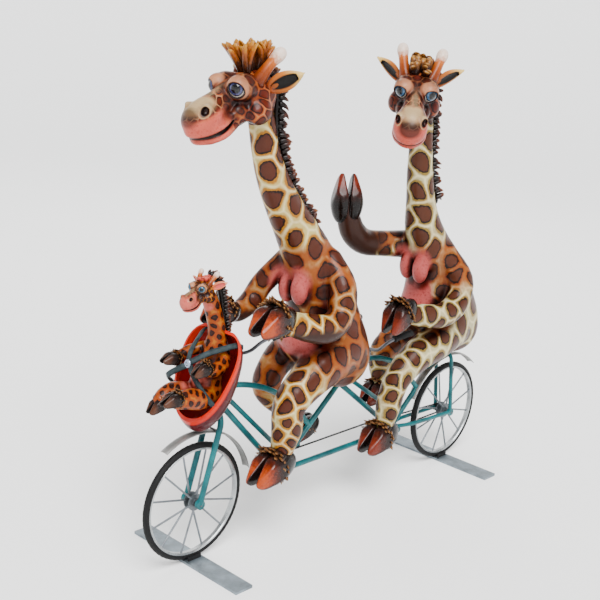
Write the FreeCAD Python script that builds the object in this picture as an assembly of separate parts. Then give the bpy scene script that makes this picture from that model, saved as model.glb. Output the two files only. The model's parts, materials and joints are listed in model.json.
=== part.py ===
import FreeCAD
import Part
import math
import os

from FreeCAD import Vector as V

# A tabletop sculpture: two giraffes ride a steel tandem bicycle, and a young one sits in a child
# seat ahead of the handlebar. Lengths are in millimetres. The origin is the middle of the front
# foot bar's underside, straight below the front axle. +Z is up, the bicycle heads towards -X, and
# -Y is the riders' left side.

# ---- driving dimensions ----
WHEEL_R = 70.0
WHEELBASE = 460.0
FOOT_WIDTH = 25.0
FOOT_LENGTH = 180.0
FOOT_THICKNESS = 3.0
RUN_GAP = 0.3
TUBE_R = 3.5
THIN_TUBE_R = 2.9
STAY_R = 2.7
FORK_TUBE_R = 3.5
SPOKE_R = 1.15
FORK_HALF_SPAN = 12.0
STAY_HALF_SPAN = 13.0
BAR_R = 2.0
GRIP_R = 4.0
SPOKE_COUNT = 12
TIMING_Y = 10.6
DRIVE_Y = 8.2
CHAINRING_R = 10.0
DRIVE_RING_R = 9.0
SPROCKET_R = 6.0

AXLE_Z = FOOT_THICKNESS + RUN_GAP + WHEEL_R
FRONT_AXLE = V(0, 0, AXLE_Z)
REAR_AXLE = V(WHEELBASE, 0, AXLE_Z)

# ---- frame points in the bicycle's own plane ----
STEER_AXIS = V(0.287, 0, 0.958)
FORK_CROWN = V(31, 0, 176)
HEAD_TUBE_LENGTH = 28.0
FRONT_BRACKET = V(134, 0, 76)
REAR_BRACKET = V(345, 0, 76)
BRACKET_R = 6.0
BRACKET_HALF_LENGTH = 6.0
FRONT_SEAT_TOP = V(245, 0, 173)
REAR_SEAT_TOP = V(449, 0, 171)
SADDLE_THICKNESS = 3.0

HUB_HALF_LENGTH = 6.4
AXLE_R = 1.5
HUB_BORE_R = AXLE_R + 0.05
LOFT_DEGREE = 3

os.makedirs("parts", exist_ok=True)


# ---- building blocks ----
def unit(vector):
    return V(vector).normalize()


def rod(start, end, radius):
    return Part.makeCylinder(radius, (end - start).Length, start, end - start)


def across(center, radius, y_low, y_high):
    """A disc or rod along Y through a point of the bicycle's plane."""
    return Part.makeCylinder(radius, y_high - y_low, V(center.x, y_low, center.z), V(0, 1, 0))


def block(low, high):
    size = high - low
    return Part.makeBox(size.x, size.y, size.z, low)


def fuse_all(shapes):
    return shapes[0].multiFuse(shapes[1:]).removeSplitter() if len(shapes) > 1 else shapes[0]


def rounded_path(points, share=0.45):
    """Straight runs joined by tangent arcs, each as large as its two runs allow."""
    edges = []
    start = points[0]
    for before, corner, after in zip(points, points[1:], points[2:]):
        run_in = corner - before
        run_out = after - corner
        turn = run_in.getAngle(run_out)
        trim = share * min(run_in.Length, run_out.Length)
        arc_start = corner - unit(run_in) * trim
        arc_end = corner + unit(run_out) * trim
        radius = trim / math.tan(turn / 2)
        inward = unit(unit(run_out) - unit(run_in))
        to_center = math.hypot(radius, trim)
        arc_middle = corner + inward * (to_center - radius)
        edges.append(Part.LineSegment(start, arc_start).toShape())
        edges.append(Part.Arc(arc_start, arc_middle, arc_end).toShape())
        start = arc_end
    edges.append(Part.LineSegment(start, points[-1]).toShape())
    return Part.Wire(edges)


def bent_tube(points, radius):
    """A solid round rod bent along a route of points."""
    if len(points) == 2:
        return rod(points[0], points[1], radius)
    path = rounded_path(points)
    ring = Part.Wire(Part.Circle(points[0], points[1] - points[0], radius).toShape())
    return path.makePipeShell([ring], True, False)


def oval(center, along, half_width, half_depth, side=V(0, 1, 0), corners=12):
    """A closed oval outline across a limb. Its width runs along side, its depth square to that."""
    tangent = unit(along)
    wide = unit(side - tangent * side.dot(tangent))
    deep = tangent.cross(wide)
    points = []
    for k in range(corners):
        angle = 2 * math.pi * k / corners
        points.append(
            center + wide * (half_width * math.cos(angle)) + deep * (half_depth * math.sin(angle))
        )
    curve = Part.BSplineCurve()
    curve.interpolate(Points=points, PeriodicFlag=True)
    return Part.Wire(curve.toShape())


def limb(stations, side=V(0, 1, 0)):
    """A smooth body through stations of (x, y, z, half width, half depth)."""
    centers = [V(*s[:3]) for s in stations]
    wires = []
    for k, station in enumerate(stations):
        ahead = centers[min(k + 1, len(centers) - 1)]
        behind = centers[max(k - 1, 0)]
        wires.append(oval(centers[k], ahead - behind, station[3], station[4], side))
    return Part.makeLoft(wires, True, False, False, LOFT_DEGREE)


def egg(center, half_x, half_y, half_z):
    """A lofted egg with small flat ends, its length along X."""
    stations = []
    for latitude in (-76, -55, -30, 0, 30, 55, 76):
        angle = math.radians(latitude)
        across_x = math.cos(angle)
        stations.append((half_x * math.sin(angle), 0, 0, half_y * across_x, half_z * across_x))
    shape = limb(stations)
    shape.translate(center)
    return shape


def mirrored(shape):
    return shape.mirror(V(0, 0, 0), V(0, 1, 0))


def both_sides(shape):
    return [shape, mirrored(shape)]


nodes = {}


def keep(name, shapes):
    """Files one node as a group of separate solids."""
    solids = []
    for shape in shapes if isinstance(shapes, list) else [shapes]:
        solids += [s for s in shape.Solids if s.Volume > 0.5]
    nodes[name] = solids


def trim(name, *cutters):
    """Takes other nodes' material out of a node, so that pieces meet face to face."""
    tool = [s for cutter in cutters for s in nodes[cutter]]
    trimmed = []
    for solid in nodes[name]:
        near = [t for t in tool if t.BoundBox.intersect(solid.BoundBox)]
        trimmed += (solid.cut(near) if near else solid).Solids
    biggest = max(s.Volume for s in trimmed)
    nodes[name] = [s for s in trimmed if s.Volume > 0.02 * biggest]


# ---- stand ----
def make_stand():
    bars = []
    for axle in (FRONT_AXLE, REAR_AXLE):
        corner = V(axle.x - FOOT_WIDTH / 2, -FOOT_LENGTH / 2, 0)
        bar = block(corner, corner + V(FOOT_WIDTH, FOOT_LENGTH, FOOT_THICKNESS))
        upright = [e for e in bar.Edges if abs(e.tangentAt(e.FirstParameter).z) > 0.9]
        bars.append(bar.makeFillet(1.2, upright))
    keep("foot_bars", bars)
    cheeks = []
    for axle in (FRONT_AXLE, REAR_AXLE):
        for side in (-1, 1):
            inner, outer = 4.4, 6.6
            low = V(axle.x - 9, min(side * inner, side * outer), FOOT_THICKNESS)
            cheek = block(low, low + V(18, outer - inner, 6))
            tyre_room = across(axle, WHEEL_R - 4.0, -8, 8)
            cheeks.append(cheek.cut(tyre_room))
    keep("tyre_cradles", cheeks)


# ---- wheels ----
def turned(profile, center):
    """A ring or hub turned about the axle through center, from (radius, y) corners or edges."""
    face = Part.Face(profile if isinstance(profile, Part.Wire) else Part.makePolygon(profile))
    return face.revolve(center, V(0, 1, 0), 360)


def ring_point(axle, radius, y):
    return V(axle.x + radius, y, axle.z)


def make_tyre(axle):
    rim_r, shoulder_r, crown_r = WHEEL_R - 6.0, WHEEL_R - 1.3, WHEEL_R
    base, belly, shoulder = 2.7, 4.0, 2.7

    def at(radius, y):
        return ring_point(axle, radius, y)

    edges = [
        Part.LineSegment(at(rim_r, -base), at(rim_r, base)).toShape(),
        Part.Arc(at(rim_r, base), at(rim_r + 2.4, belly), at(shoulder_r, shoulder)).toShape(),
        Part.Arc(at(shoulder_r, shoulder), at(crown_r, 0), at(shoulder_r, -shoulder)).toShape(),
        Part.Arc(at(shoulder_r, -shoulder), at(rim_r + 2.4, -belly), at(rim_r, -base)).toShape(),
    ]
    return turned(Part.Wire(edges), axle)


def make_rim(axle):
    outer_r, inner_r = WHEEL_R - 6.0, WHEEL_R - 9.0
    corners = [
        (outer_r, -2.7), (outer_r, 2.7), (outer_r - 0.6, 3.3), (inner_r + 0.8, 3.3),
        (inner_r, 2.2), (inner_r, -2.2), (inner_r + 0.8, -3.3), (outer_r - 0.6, -3.3),
        (outer_r, -2.7),
    ]
    return turned([ring_point(axle, r, y) for r, y in corners], axle)


def make_hub(axle):
    flange_r, barrel_r, end_r = 10.0, 4.2, 5.0
    outline = [
        (HUB_BORE_R, -HUB_HALF_LENGTH), (end_r, -HUB_HALF_LENGTH), (end_r, -5.2),
        (flange_r, -4.6), (flange_r, -3.2), (barrel_r, -2.2), (barrel_r, 2.2),
        (flange_r, 3.2), (flange_r, 4.6), (end_r, 5.2), (end_r, HUB_HALF_LENGTH),
        (HUB_BORE_R, HUB_HALF_LENGTH), (HUB_BORE_R, -HUB_HALF_LENGTH),
    ]
    return turned([ring_point(axle, r, y) for r, y in outline], axle)


def make_spokes(axle, hub, rim):
    """Straight spokes, every other one from the other flange, cut flush at hub and rim."""
    spokes = []
    for k in range(SPOKE_COUNT):
        angle = 2 * math.pi * (k + 0.5) / SPOKE_COUNT
        outward = V(math.cos(angle), 0, math.sin(angle))
        side = 3.9 if k % 2 else -3.9
        start = axle + outward * 8.6 + V(0, side, 0)
        end = axle + outward * (WHEEL_R - 8.0) + V(0, side * 0.2, 0)
        spokes.append(rod(start, end, SPOKE_R).cut([hub, rim]))
    return spokes


def make_wheels():
    for name, axle in (("front", FRONT_AXLE), ("rear", REAR_AXLE)):
        hub, rim = make_hub(axle), make_rim(axle)
        keep(name + "_tyre", make_tyre(axle))
        keep(name + "_rim", rim)
        keep(name + "_hub", hub)
        keep(name + "_spokes", make_spokes(axle, hub, rim))
    keep("wheel_axles", [
        across(FRONT_AXLE, AXLE_R, -FORK_HALF_SPAN - 3, FORK_HALF_SPAN + 3),
        across(REAR_AXLE, AXLE_R, -STAY_HALF_SPAN - 3, STAY_HALF_SPAN + 3),
    ])
    washers = []
    for axle, inside in ((FRONT_AXLE, FORK_HALF_SPAN - FORK_TUBE_R), (REAR_AXLE, STAY_HALF_SPAN - STAY_R)):
        for side in (-1, 1):
            low, high = sorted((side * (HUB_HALF_LENGTH + RUN_GAP), side * inside))
            if axle is REAR_AXLE and side > 0:
                high = DRIVE_Y - 0.8
            washers.append(across(axle, 3.0, low, high).cut(across(axle, AXLE_R, low, high)))
    keep("hub_cones", washers)


# ---- fork, headset and frame ----
def steer_point(distance):
    return FORK_CROWN + unit(STEER_AXIS) * distance


def make_fork():
    blade = bent_tube(
        [V(0, -FORK_HALF_SPAN, AXLE_Z), V(27.5, -FORK_HALF_SPAN, 165), FORK_CROWN + V(0, -1.5, 1)],
        FORK_TUBE_R,
    )
    tab = across(FRONT_AXLE, 5.6, -FORK_HALF_SPAN - 2.4, -FORK_HALF_SPAN + 2.4)
    crown = rod(steer_point(-4), steer_point(3), 5.2)
    steerer = rod(steer_point(0), steer_point(HEAD_TUBE_LENGTH + 8), 2.4)
    fork = fuse_all([*both_sides(blade), *both_sides(tab), crown, steerer])
    keep("fork", fork.cut(nodes["wheel_axles"]))


def make_head_tube():
    low, high = 5.0, 3.0 + HEAD_TUBE_LENGTH
    bore = rod(steer_point(low - 3), steer_point(high + 3), 2.45)
    tube = rod(steer_point(low), steer_point(high), 4.6)
    keep("head_tube", tube.cut(bore))
    cups = [
        rod(steer_point(low - 2), steer_point(low), 5.8).cut(bore),
        rod(steer_point(high), steer_point(high + 2), 5.8).cut(bore),
    ]
    keep("headset_cups", cups)


def make_frame():
    shells, threads = [], []
    for bracket in (FRONT_BRACKET, REAR_BRACKET):
        bore = across(bracket, 2.05, -BRACKET_HALF_LENGTH, BRACKET_HALF_LENGTH)
        shell = across(bracket, BRACKET_R, -BRACKET_HALF_LENGTH, BRACKET_HALF_LENGTH)
        shells.append(shell.cut(bore))
        threads.append(across(bracket, BRACKET_R, -BRACKET_HALF_LENGTH, BRACKET_HALF_LENGTH))
    keep("bottom_bracket_shells", shells)
    keep("bracket_room", threads)

    keep("seat_tubes", [
        rod(FRONT_BRACKET, FRONT_SEAT_TOP, TUBE_R),
        rod(REAR_BRACKET, REAR_SEAT_TOP, TUBE_R),
    ])
    head_low, head_mid, head_top = steer_point(8), steer_point(20), steer_point(27)
    keep("down_tubes", [
        rod(head_low, FRONT_BRACKET + V(-2, 0, 0), TUBE_R),
        rod(head_mid, V(147, 0, 87.5), THIN_TUBE_R),
        rod(V(240, 0, 158), REAR_BRACKET + V(-2, 0, 0), TUBE_R),
        rod(V(243, 0, 171), V(360, 0, 90), THIN_TUBE_R),
    ])
    keep("arch_tubes", [
        bent_tube(
            [head_top, V(72, 0, 197), V(108, 0, 184), V(150, 0, 158), V(183, 0, 119)], TUBE_R),
        bent_tube(
            [V(243, 0, 169), V(263, 0, 184), V(300, 0, 184), V(352, 0, 165), V(397, 0, 118)],
            TUBE_R),
    ])
    keep("bottom_tube", rod(FRONT_BRACKET + V(3, 0, -5), REAR_BRACKET + V(-3, 0, -5), TUBE_R))
    trim("seat_tubes", "bracket_room")
    trim("down_tubes", "bracket_room", "head_tube", "headset_cups", "fork", "seat_tubes")
    trim("arch_tubes", "head_tube", "headset_cups", "fork", "seat_tubes", "down_tubes")
    trim("bottom_tube", "bracket_room", "seat_tubes", "down_tubes")


def make_stays():
    """Two chain stays and two seat stays, with a flat tab round each end of the rear axle."""
    axle_left = V(REAR_AXLE.x, -STAY_HALF_SPAN, AXLE_Z)
    chain_stay = bent_tube(
        [REAR_BRACKET + V(4, -3, 0), V(375, -STAY_HALF_SPAN + 1, 76), axle_left], STAY_R)
    tab = across(REAR_AXLE, 5.2, -STAY_HALF_SPAN - 2.1, -STAY_HALF_SPAN + 2.1)
    keep("chain_stays", both_sides(fuse_all([chain_stay, tab])))
    seat_stay = bent_tube(
        [REAR_SEAT_TOP + V(2, 0, -5), V(450, -STAY_HALF_SPAN, 158), axle_left], STAY_R)
    other_side = block(V(0, 0, 0), V(900, 90, 300))
    keep("seat_stays", both_sides(seat_stay.cut(other_side)))
    trim("chain_stays", "bracket_room", "wheel_axles", "seat_tubes", "down_tubes")
    trim("seat_stays", "seat_tubes", "chain_stays", "wheel_axles")


def fender(axle, from_deg, to_deg, radius=83.0):
    """A shallow curved strip round part of a wheel. Angles run up from the rear."""
    half_width, sag, thickness = 5.5, 1.6, 1.0

    def arc(r):
        return [V(axle.x + r - sag, -half_width, axle.z), V(axle.x + r, 0, axle.z),
                V(axle.x + r - sag, half_width, axle.z)]

    outer, inner = arc(radius + thickness), arc(radius)
    section = Part.Face(Part.Wire([
        Part.Arc(*outer).toShape(),
        Part.LineSegment(outer[2], inner[2]).toShape(),
        Part.Arc(inner[2], inner[1], inner[0]).toShape(),
        Part.LineSegment(inner[0], outer[0]).toShape(),
    ]))
    section.rotate(axle, V(0, -1, 0), from_deg)
    return section.revolve(axle, V(0, -1, 0), to_deg - from_deg)


def make_fenders():
    fork_bridge = across(V(26.0, 0, AXLE_Z + 80.5), 1.2, -FORK_HALF_SPAN, FORK_HALF_SPAN)
    stay_bridge = across(V(451.0, 0, AXLE_Z + 83.5), 1.2, -STAY_HALF_SPAN, STAY_HALF_SPAN)
    keep("front_fender", fender(FRONT_AXLE, 14, 122).fuse(fork_bridge))
    keep("rear_fender", fender(REAR_AXLE, 46, 156).fuse(stay_bridge))
    trim("front_fender", "fork", "down_tubes")
    trim("rear_fender", "seat_stays", "seat_tubes", "arch_tubes", "down_tubes")


# ---- handlebars and saddles ----
FRONT_BAR_CLAMP = V(50, 0, 238)
REAR_BAR_CLAMP = V(290, 0, 196)


def mirrored_points(points):
    return [V(p.x, -p.y, p.z) for p in reversed(points)]


def make_handlebars():
    front_left = [V(100, -44, 265), V(66, -36, 262), V(58, -18, 242)]
    rear_left = [V(314, -43, 224), V(283, -37, 219), V(286, -16, 199)]
    stem = rod(steer_point(HEAD_TUBE_LENGTH + 5.5), FRONT_BAR_CLAMP + V(1, 0, 3), 3.0)
    stem = stem.cut(rod(steer_point(0), steer_point(HEAD_TUBE_LENGTH + 8), 2.4))
    front_bar = bent_tube([*front_left, FRONT_BAR_CLAMP, *mirrored_points(front_left)], BAR_R)
    keep("front_handlebar", fuse_all([stem, front_bar]))
    stoker_stem = rod(V(280, 0, 182), REAR_BAR_CLAMP, BAR_R)
    rear_bar = bent_tube([*rear_left, REAR_BAR_CLAMP, *mirrored_points(rear_left)], BAR_R)
    keep("rear_handlebar", fuse_all([stoker_stem, rear_bar]))
    trim("rear_handlebar", "seat_tubes", "down_tubes", "arch_tubes")

    grips = []
    for left in (front_left, rear_left):
        end, bend = left[0], left[1]
        back = unit(end - bend)
        sleeve = rod(end - back * 26, end + back * 2, GRIP_R)
        grips += both_sides(sleeve.cut(rod(end - back * 40, end, BAR_R)))
    keep("grips", grips)
    trim("grips", "front_handlebar", "rear_handlebar")


def make_saddles():
    plates = []
    for top in (FRONT_SEAT_TOP, REAR_SEAT_TOP):
        low = V(top.x - 19, -13, top.z)
        plate = block(low, low + V(36, 26, SADDLE_THICKNESS))
        upright = [e for e in plate.Edges if abs(e.tangentAt(e.FirstParameter).z) > 0.9]
        plates.append(plate.makeFillet(8, upright))
    keep("saddle_plates", plates)
    for name in ("seat_tubes", "seat_stays", "arch_tubes", "down_tubes", "rear_handlebar"):
        trim(name, "saddle_plates")


# ---- drive ----
FRONT_PEDALS = {-1: V(96, 0, 77), 1: V(182, 0, 86)}
REAR_PEDALS = {-1: V(300, 0, 67), 1: V(343, 0, 104)}
CRANK_Y = 13.0


def toothed_ring(center, radius, teeth, y_low, y_high, bore_r):
    """A chainwheel with one shallow notch per tooth gap."""
    disc = across(center, radius, y_low, y_high)
    cutters = [across(center, bore_r, y_low, y_high)]
    for k in range(teeth):
        angle = 2 * math.pi * k / teeth
        notch = center + V(math.cos(angle), 0, math.sin(angle)) * (radius + 0.35)
        cutters.append(across(notch, 0.8, y_low, y_high))
    return disc.cut(cutters)


def chain_loop(first, first_r, second, second_r, y):
    """A flat closed chain round two wheels in the plane at y."""
    depth, half_width = 1.6, 0.9
    span = second - first
    lean = math.asin((first_r - second_r) / span.Length)
    slope = math.atan2(span.z, span.x)

    def outline(extra):
        points = []
        for sign in (1, -1):
            normal_angle = slope + sign * (math.pi / 2 - lean)
            normal = V(math.cos(normal_angle), 0, math.sin(normal_angle))
            points.append((first + normal * (first_r + extra), second + normal * (second_r + extra)))
        (top_a, top_b), (low_a, low_b) = points
        outward = unit(span)
        edges = [
            Part.LineSegment(top_a, top_b).toShape(),
            Part.Arc(top_b, second + outward * (second_r + extra), low_b).toShape(),
            Part.LineSegment(low_b, low_a).toShape(),
            Part.Arc(low_a, first - outward * (first_r + extra), top_a).toShape(),
        ]
        return Part.Face(Part.Wire(edges))

    band = outline(depth).cut(outline(0.0))
    band.translate(V(0, y - half_width, 0))
    return band.extrude(V(0, 2 * half_width, 0))


def make_drive():
    axles, arms, pedals = [], [], []
    for bracket, spots in ((FRONT_BRACKET, FRONT_PEDALS), (REAR_BRACKET, REAR_PEDALS)):
        axle = across(bracket, 2.0, -CRANK_Y - 1.5, CRANK_Y + 3.5)
        axles.append(axle)
        for side, spot in spots.items():
            reach = CRANK_Y if side < 0 else CRANK_Y + 2.0
            shift = V(0, side * reach, 0)
            arm = fuse_all([
                rod(bracket + shift, spot + shift, 1.8),
                across(bracket, 3.4, side * reach - 1.5, side * reach + 1.5),
                across(spot, 2.6, side * reach - 1.5, side * reach + 1.5),
            ])
            arms.append(arm.cut(axle))
            near, far = sorted((side * (reach + 1.5), side * (reach + 20)))
            spindle = across(spot, 1.2, near, far)
            low = V(spot.x - 7, min(side * (reach + 3), side * (reach + 19)), spot.z - 2)
            tread = block(low, low + V(14, 16, 4))
            pedals.append(fuse_all([tread, spindle]))
    keep("crank_axles", axles)
    keep("crank_arms", arms)
    keep("pedals", pedals)
    trim("pedals", "crank_arms")
    keep("chainrings", [
        toothed_ring(FRONT_BRACKET, CHAINRING_R, 20, TIMING_Y - 0.8, TIMING_Y + 0.8, 2.0),
        toothed_ring(REAR_BRACKET, CHAINRING_R, 20, TIMING_Y - 0.8, TIMING_Y + 0.8, 2.0),
        toothed_ring(REAR_BRACKET, DRIVE_RING_R, 18, DRIVE_Y - 0.8, DRIVE_Y + 0.8, 2.0),
    ])
    keep("rear_sprocket",
         toothed_ring(REAR_AXLE, SPROCKET_R, 12, DRIVE_Y - 0.8, DRIVE_Y + 0.8, AXLE_R))
    keep("chains", [
        chain_loop(FRONT_BRACKET, CHAINRING_R, REAR_BRACKET, CHAINRING_R, TIMING_Y),
        chain_loop(REAR_BRACKET, DRIVE_RING_R, REAR_AXLE, SPROCKET_R, DRIVE_Y),
    ])
    trim("chains", "chain_stays")


# ---- child seat ----
# Each station: height, middle x, half length, half width.
SEAT_STATIONS = [
    (160, 6, 6, 9), (168, 4, 15, 20), (180, 3, 21, 30), (200, 6, 27, 39),
    (228, 12, 30, 44), (250, 17, 29, 44), (264, 22, 24, 38), (273, 27, 14, 24),
]
SEAT_WALL = 3.0
SEAT_LIP = V(-14, 0, 176)
SEAT_TOP = V(28, 0, 266)


def make_child_seat():
    """A bucket shell cut open along a leaning plane, on a bracket clamped round the stem."""
    outer = limb([(x, 0, z, half_y, half_x) for z, x, half_x, half_y in SEAT_STATIONS])
    inner = limb([
        (x, 0, z + (SEAT_WALL if z < 170 else 0), half_y - SEAT_WALL, half_x - SEAT_WALL)
        for z, x, half_x, half_y in SEAT_STATIONS[:-1]
    ] + [(25, 0, 270, 20, 9)])
    lean = math.degrees(math.atan2(SEAT_TOP.x - SEAT_LIP.x, SEAT_TOP.z - SEAT_LIP.z))
    opening = block(V(-200, -100, -200), V(0, 100, 300))
    opening.rotate(V(0, 0, 0), V(0, 1, 0), lean)
    opening.translate(SEAT_LIP)
    keep("seat_shell", outer.cut(inner).cut(opening))
    trim("seat_shell", "head_tube", "headset_cups", "fork", "front_handlebar")
    clamp_low, clamp_high = steer_point(42), steer_point(54)
    clamp = rod(clamp_low, clamp_high, 5.0)
    arm = block(V(36, -9, 214), V(46, 9, 226))
    bracket = clamp.fuse(arm)
    keep("seat_bracket", bracket)
    trim("seat_bracket", "seat_shell", "front_handlebar")
    nodes["seat_bracket"] = [s.cut(inner) for s in nodes["seat_bracket"]]


# ---- riders ----
# A rider's forward is -X. Every station is (x, y, z, half width, half depth).
def mirror_pair(shape):
    """The same shape on both sides of a head that looks along +X."""
    return [shape, shape.mirror(V(0, 0, 0), V(0, 1, 0))]


def placed(shape, origin, tilt, turn, roll):
    """Moves a head part from its own frame, nose along +X, to where the neck carries it."""
    shape = shape.copy()
    shape.rotate(V(0, 0, 0), V(1, 0, 0), roll)
    shape.rotate(V(0, 0, 0), V(0, 1, 0), tilt)
    shape.rotate(V(0, 0, 0), V(0, 0, 1), 180 + turn)
    shape.translate(origin)
    return shape


def head_parts(size):
    """A head in its own frame, the nose along +X. Size 1 is an adult's."""

    def sized_egg(x, y, z, half_x, half_y, half_z):
        return egg(V(x, y, z) * size, half_x * size, half_y * size, half_z * size)

    def sized_limb(stations):
        return limb([tuple(size * n for n in station) for station in stations])

    skull = sized_egg(0, 0, 0, 29, 25, 26)
    brow = mirror_pair(sized_egg(22, 15, 14, 15, 12, 14))
    cheek = mirror_pair(sized_egg(16, 21, -13, 14, 10, 13))
    muzzle = sized_limb([
        (6, 0, 2, 19, 19), (34, 0, 2, 14, 16), (54, 0, -1, 18, 15),
        (72, 0, -4, 22, 14), (84, 0, -6, 16, 10), (88, 0, -7, 8, 5),
    ])
    lip = sized_egg(60, 0, -18, 22, 16, 7)
    horn = sized_limb([(-4, 17, 18, 6, 6), (-8, 20, 34, 4.6, 4.6), (-12, 23, 48, 5.4, 5.4),
                       (-13, 24, 54, 3.5, 3.5)])
    ear = sized_limb([(-14, 20, 8, 3, 5), (-20, 32, 12, 3.5, 9), (-27, 44, 16, 3, 7),
                      (-33, 56, 20, 1, 2)])
    return {
        "head": [fuse_all([skull, muzzle, lip, *brow, *cheek])],
        "horns": mirror_pair(horn),
        "ears": mirror_pair(ear),
        "forelock": [sized_egg(-2, 0, 32, 18, 10, 15)],
    }


def hoof(center, heading, droop, size=1.0):
    """Two toes side by side. Heading turns them about Z from -X, droop tips them down."""
    toes = []
    for side in (-1, 1):
        toe = egg(V(0, 0, 0), 22 * size, 8.5 * size, 12 * size)
        toe.rotate(V(0, 0, 0), V(0, 0, 1), side * 6)
        toe.translate(V(0, side * 8.7 * size, 0))
        toes.append(toe)
    moved = []
    for toe in toes:
        toe = toe.cut(block(V(-90, -0.15, -90), V(90, 0.15, 90)))
        toe.rotate(V(0, 0, 0), V(0, 1, 0), -droop)
        toe.rotate(V(0, 0, 0), V(0, 0, 1), heading)
        toe.translate(center)
        moved.append(toe)
    return moved


FRONT_RIDER = {
    "body": [
        (230, 0, 176, 24, 22), (230, 0, 190, 38, 38), (222, 0, 212, 42, 43),
        (208, 0, 240, 42, 42), (194, 0, 272, 40, 40), (178, 0, 306, 36, 36),
        (160, 0, 340, 29, 30), (138, 0, 372, 24, 26), (116, 0, 403, 20, 21),
        (98, 0, 434, 17, 18), (86, 0, 464, 15, 15), (79, 0, 492, 14, 15), (76, 0, 508, 13, 14),
    ],
    "lobes": [(132, -14, 304), (134, 15, 301)],
    "arms": [
        [(178, -24, 330, 15, 15), (179, -44, 300, 17, 17), (166, -52, 272, 16, 16),
         (143, -53, 262, 15, 15), (113, -50, 270, 14, 14), (94, -45, 277, 12, 12)],
        [(150, 24, 326, 14, 14), (129, 40, 297, 13, 13), (119, 44, 278, 13, 13),
         (94, 40, 269, 12, 12), (82, 38, 270, 10, 10)],
    ],
    "legs": [
        [(205, -24, 216, 26, 26), (167, -32, 205, 26, 26), (136, -34, 190, 22, 22),
         (115, -34, 176, 20, 20), (111, -33, 160, 19, 19), (113, -31, 142, 18, 18),
         (110, -30, 126, 15, 15), (107, -30, 108, 12, 12)],
        [(191, 24, 218, 24, 24), (165, 31, 207, 21, 21), (148, 33, 190, 18, 18),
         (140, 33, 171, 17, 17), (150, 31, 154, 15, 15), (172, 28, 134, 13, 13),
         (194, 24, 109, 10, 10)],
    ],
    "hooves": [(73, -42, 279, 12, 0, 0.85), (61, 34, 274, 14, 0, 0.92),
               (90, -31, 96, 6, 12, 1.0), (194, 25, 101, -6, 26, 0.85)],
    "mane": [
        (97, 0, 534, 6, 9), (98, 0, 510, 5, 8), (98, 0, 486, 5, 8), (104, 0, 460, 5, 8),
        (117, 0, 432, 5, 8), (134, 0, 406, 5, 8), (152, 0, 384, 3, 5),
    ],
    "tail": [(250, 14, 186, 4, 4), (262, 20, 214, 4, 4), (264, 20, 244, 4, 4),
             (262, 16, 268, 3.5, 3.5), (266, 13, 282, 5, 6)],
    "skull": V(62, 0, 522), "tilt": 20.0, "turn": 0.0, "roll": 0.0,
}

REAR_RIDER = {
    "body": [
        (458, 0, 175, 22, 20), (460, 0, 188, 36, 34), (454, 0, 208, 40, 41),
        (440, 0, 234, 40, 41), (424, 0, 264, 38, 38), (406, 0, 296, 35, 34),
        (388, 0, 325, 29, 28), (375, 0, 352, 24, 23), (367, 0, 382, 19, 19),
        (361, 0, 416, 17, 17), (358, 0, 448, 15, 15), (356, 0, 480, 14, 14),
        (353, 0, 506, 13, 13),
    ],
    "lobes": [(356, -14, 296), (358, 15, 298)],
    "arms": [
        [(402, -22, 306, 15, 15), (412, -42, 274, 17, 17), (394, -50, 250, 16, 16),
         (361, -52, 241, 16, 16), (328, -48, 246, 15, 15), (306, -43, 250, 12, 12)],
        [(384, 22, 318, 16, 16), (345, 44, 324, 15, 15), (318, 51, 327, 14, 14),
         (300, 52, 341, 13, 13), (286, 52, 364, 11, 11)],
    ],
    "legs": [
        [(425, -22, 203, 25, 25), (386, -30, 195, 24, 24), (352, -32, 187, 21, 21),
         (326, -33, 176, 19, 19), (309, -33, 162, 17, 17), (301, -32, 145, 16, 16),
         (297, -31, 128, 16, 16), (296, -30, 112, 13, 13), (294, -30, 97, 11, 11)],
        [(402, 22, 203, 24, 24), (372, 28, 188, 20, 20), (355, 31, 171, 17, 17),
         (351, 32, 154, 15, 15), (353, 31, 138, 12, 12), (352, 30, 126, 10, 10)],
    ],
    "hooves": [(289, -41, 248, 10, 30, 0.88), (283, 52, 386, 80, -90, 1.0),
               (281, -30, 85, 8, 14, 1.0), (340, 29, 117, 8, 16, 0.8)],
    "mane": [
        (374, 0, 523, 5, 8), (373, 0, 505, 5, 8), (373, 0, 478, 5, 8), (375, 0, 448, 5, 8),
        (380, 0, 416, 5, 8), (388, 0, 388, 5, 8), (400, 0, 362, 3, 5),
    ],
    "tail": [(486, 14, 186, 4, 4), (497, 20, 210, 4, 4), (496, 20, 240, 4, 4),
             (488, 16, 262, 3.5, 3.5), (486, 13, 277, 5, 6)],
    "skull": V(342, 0, 524), "tilt": 33.0, "turn": 35.0, "roll": -6.0,
}


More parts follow.
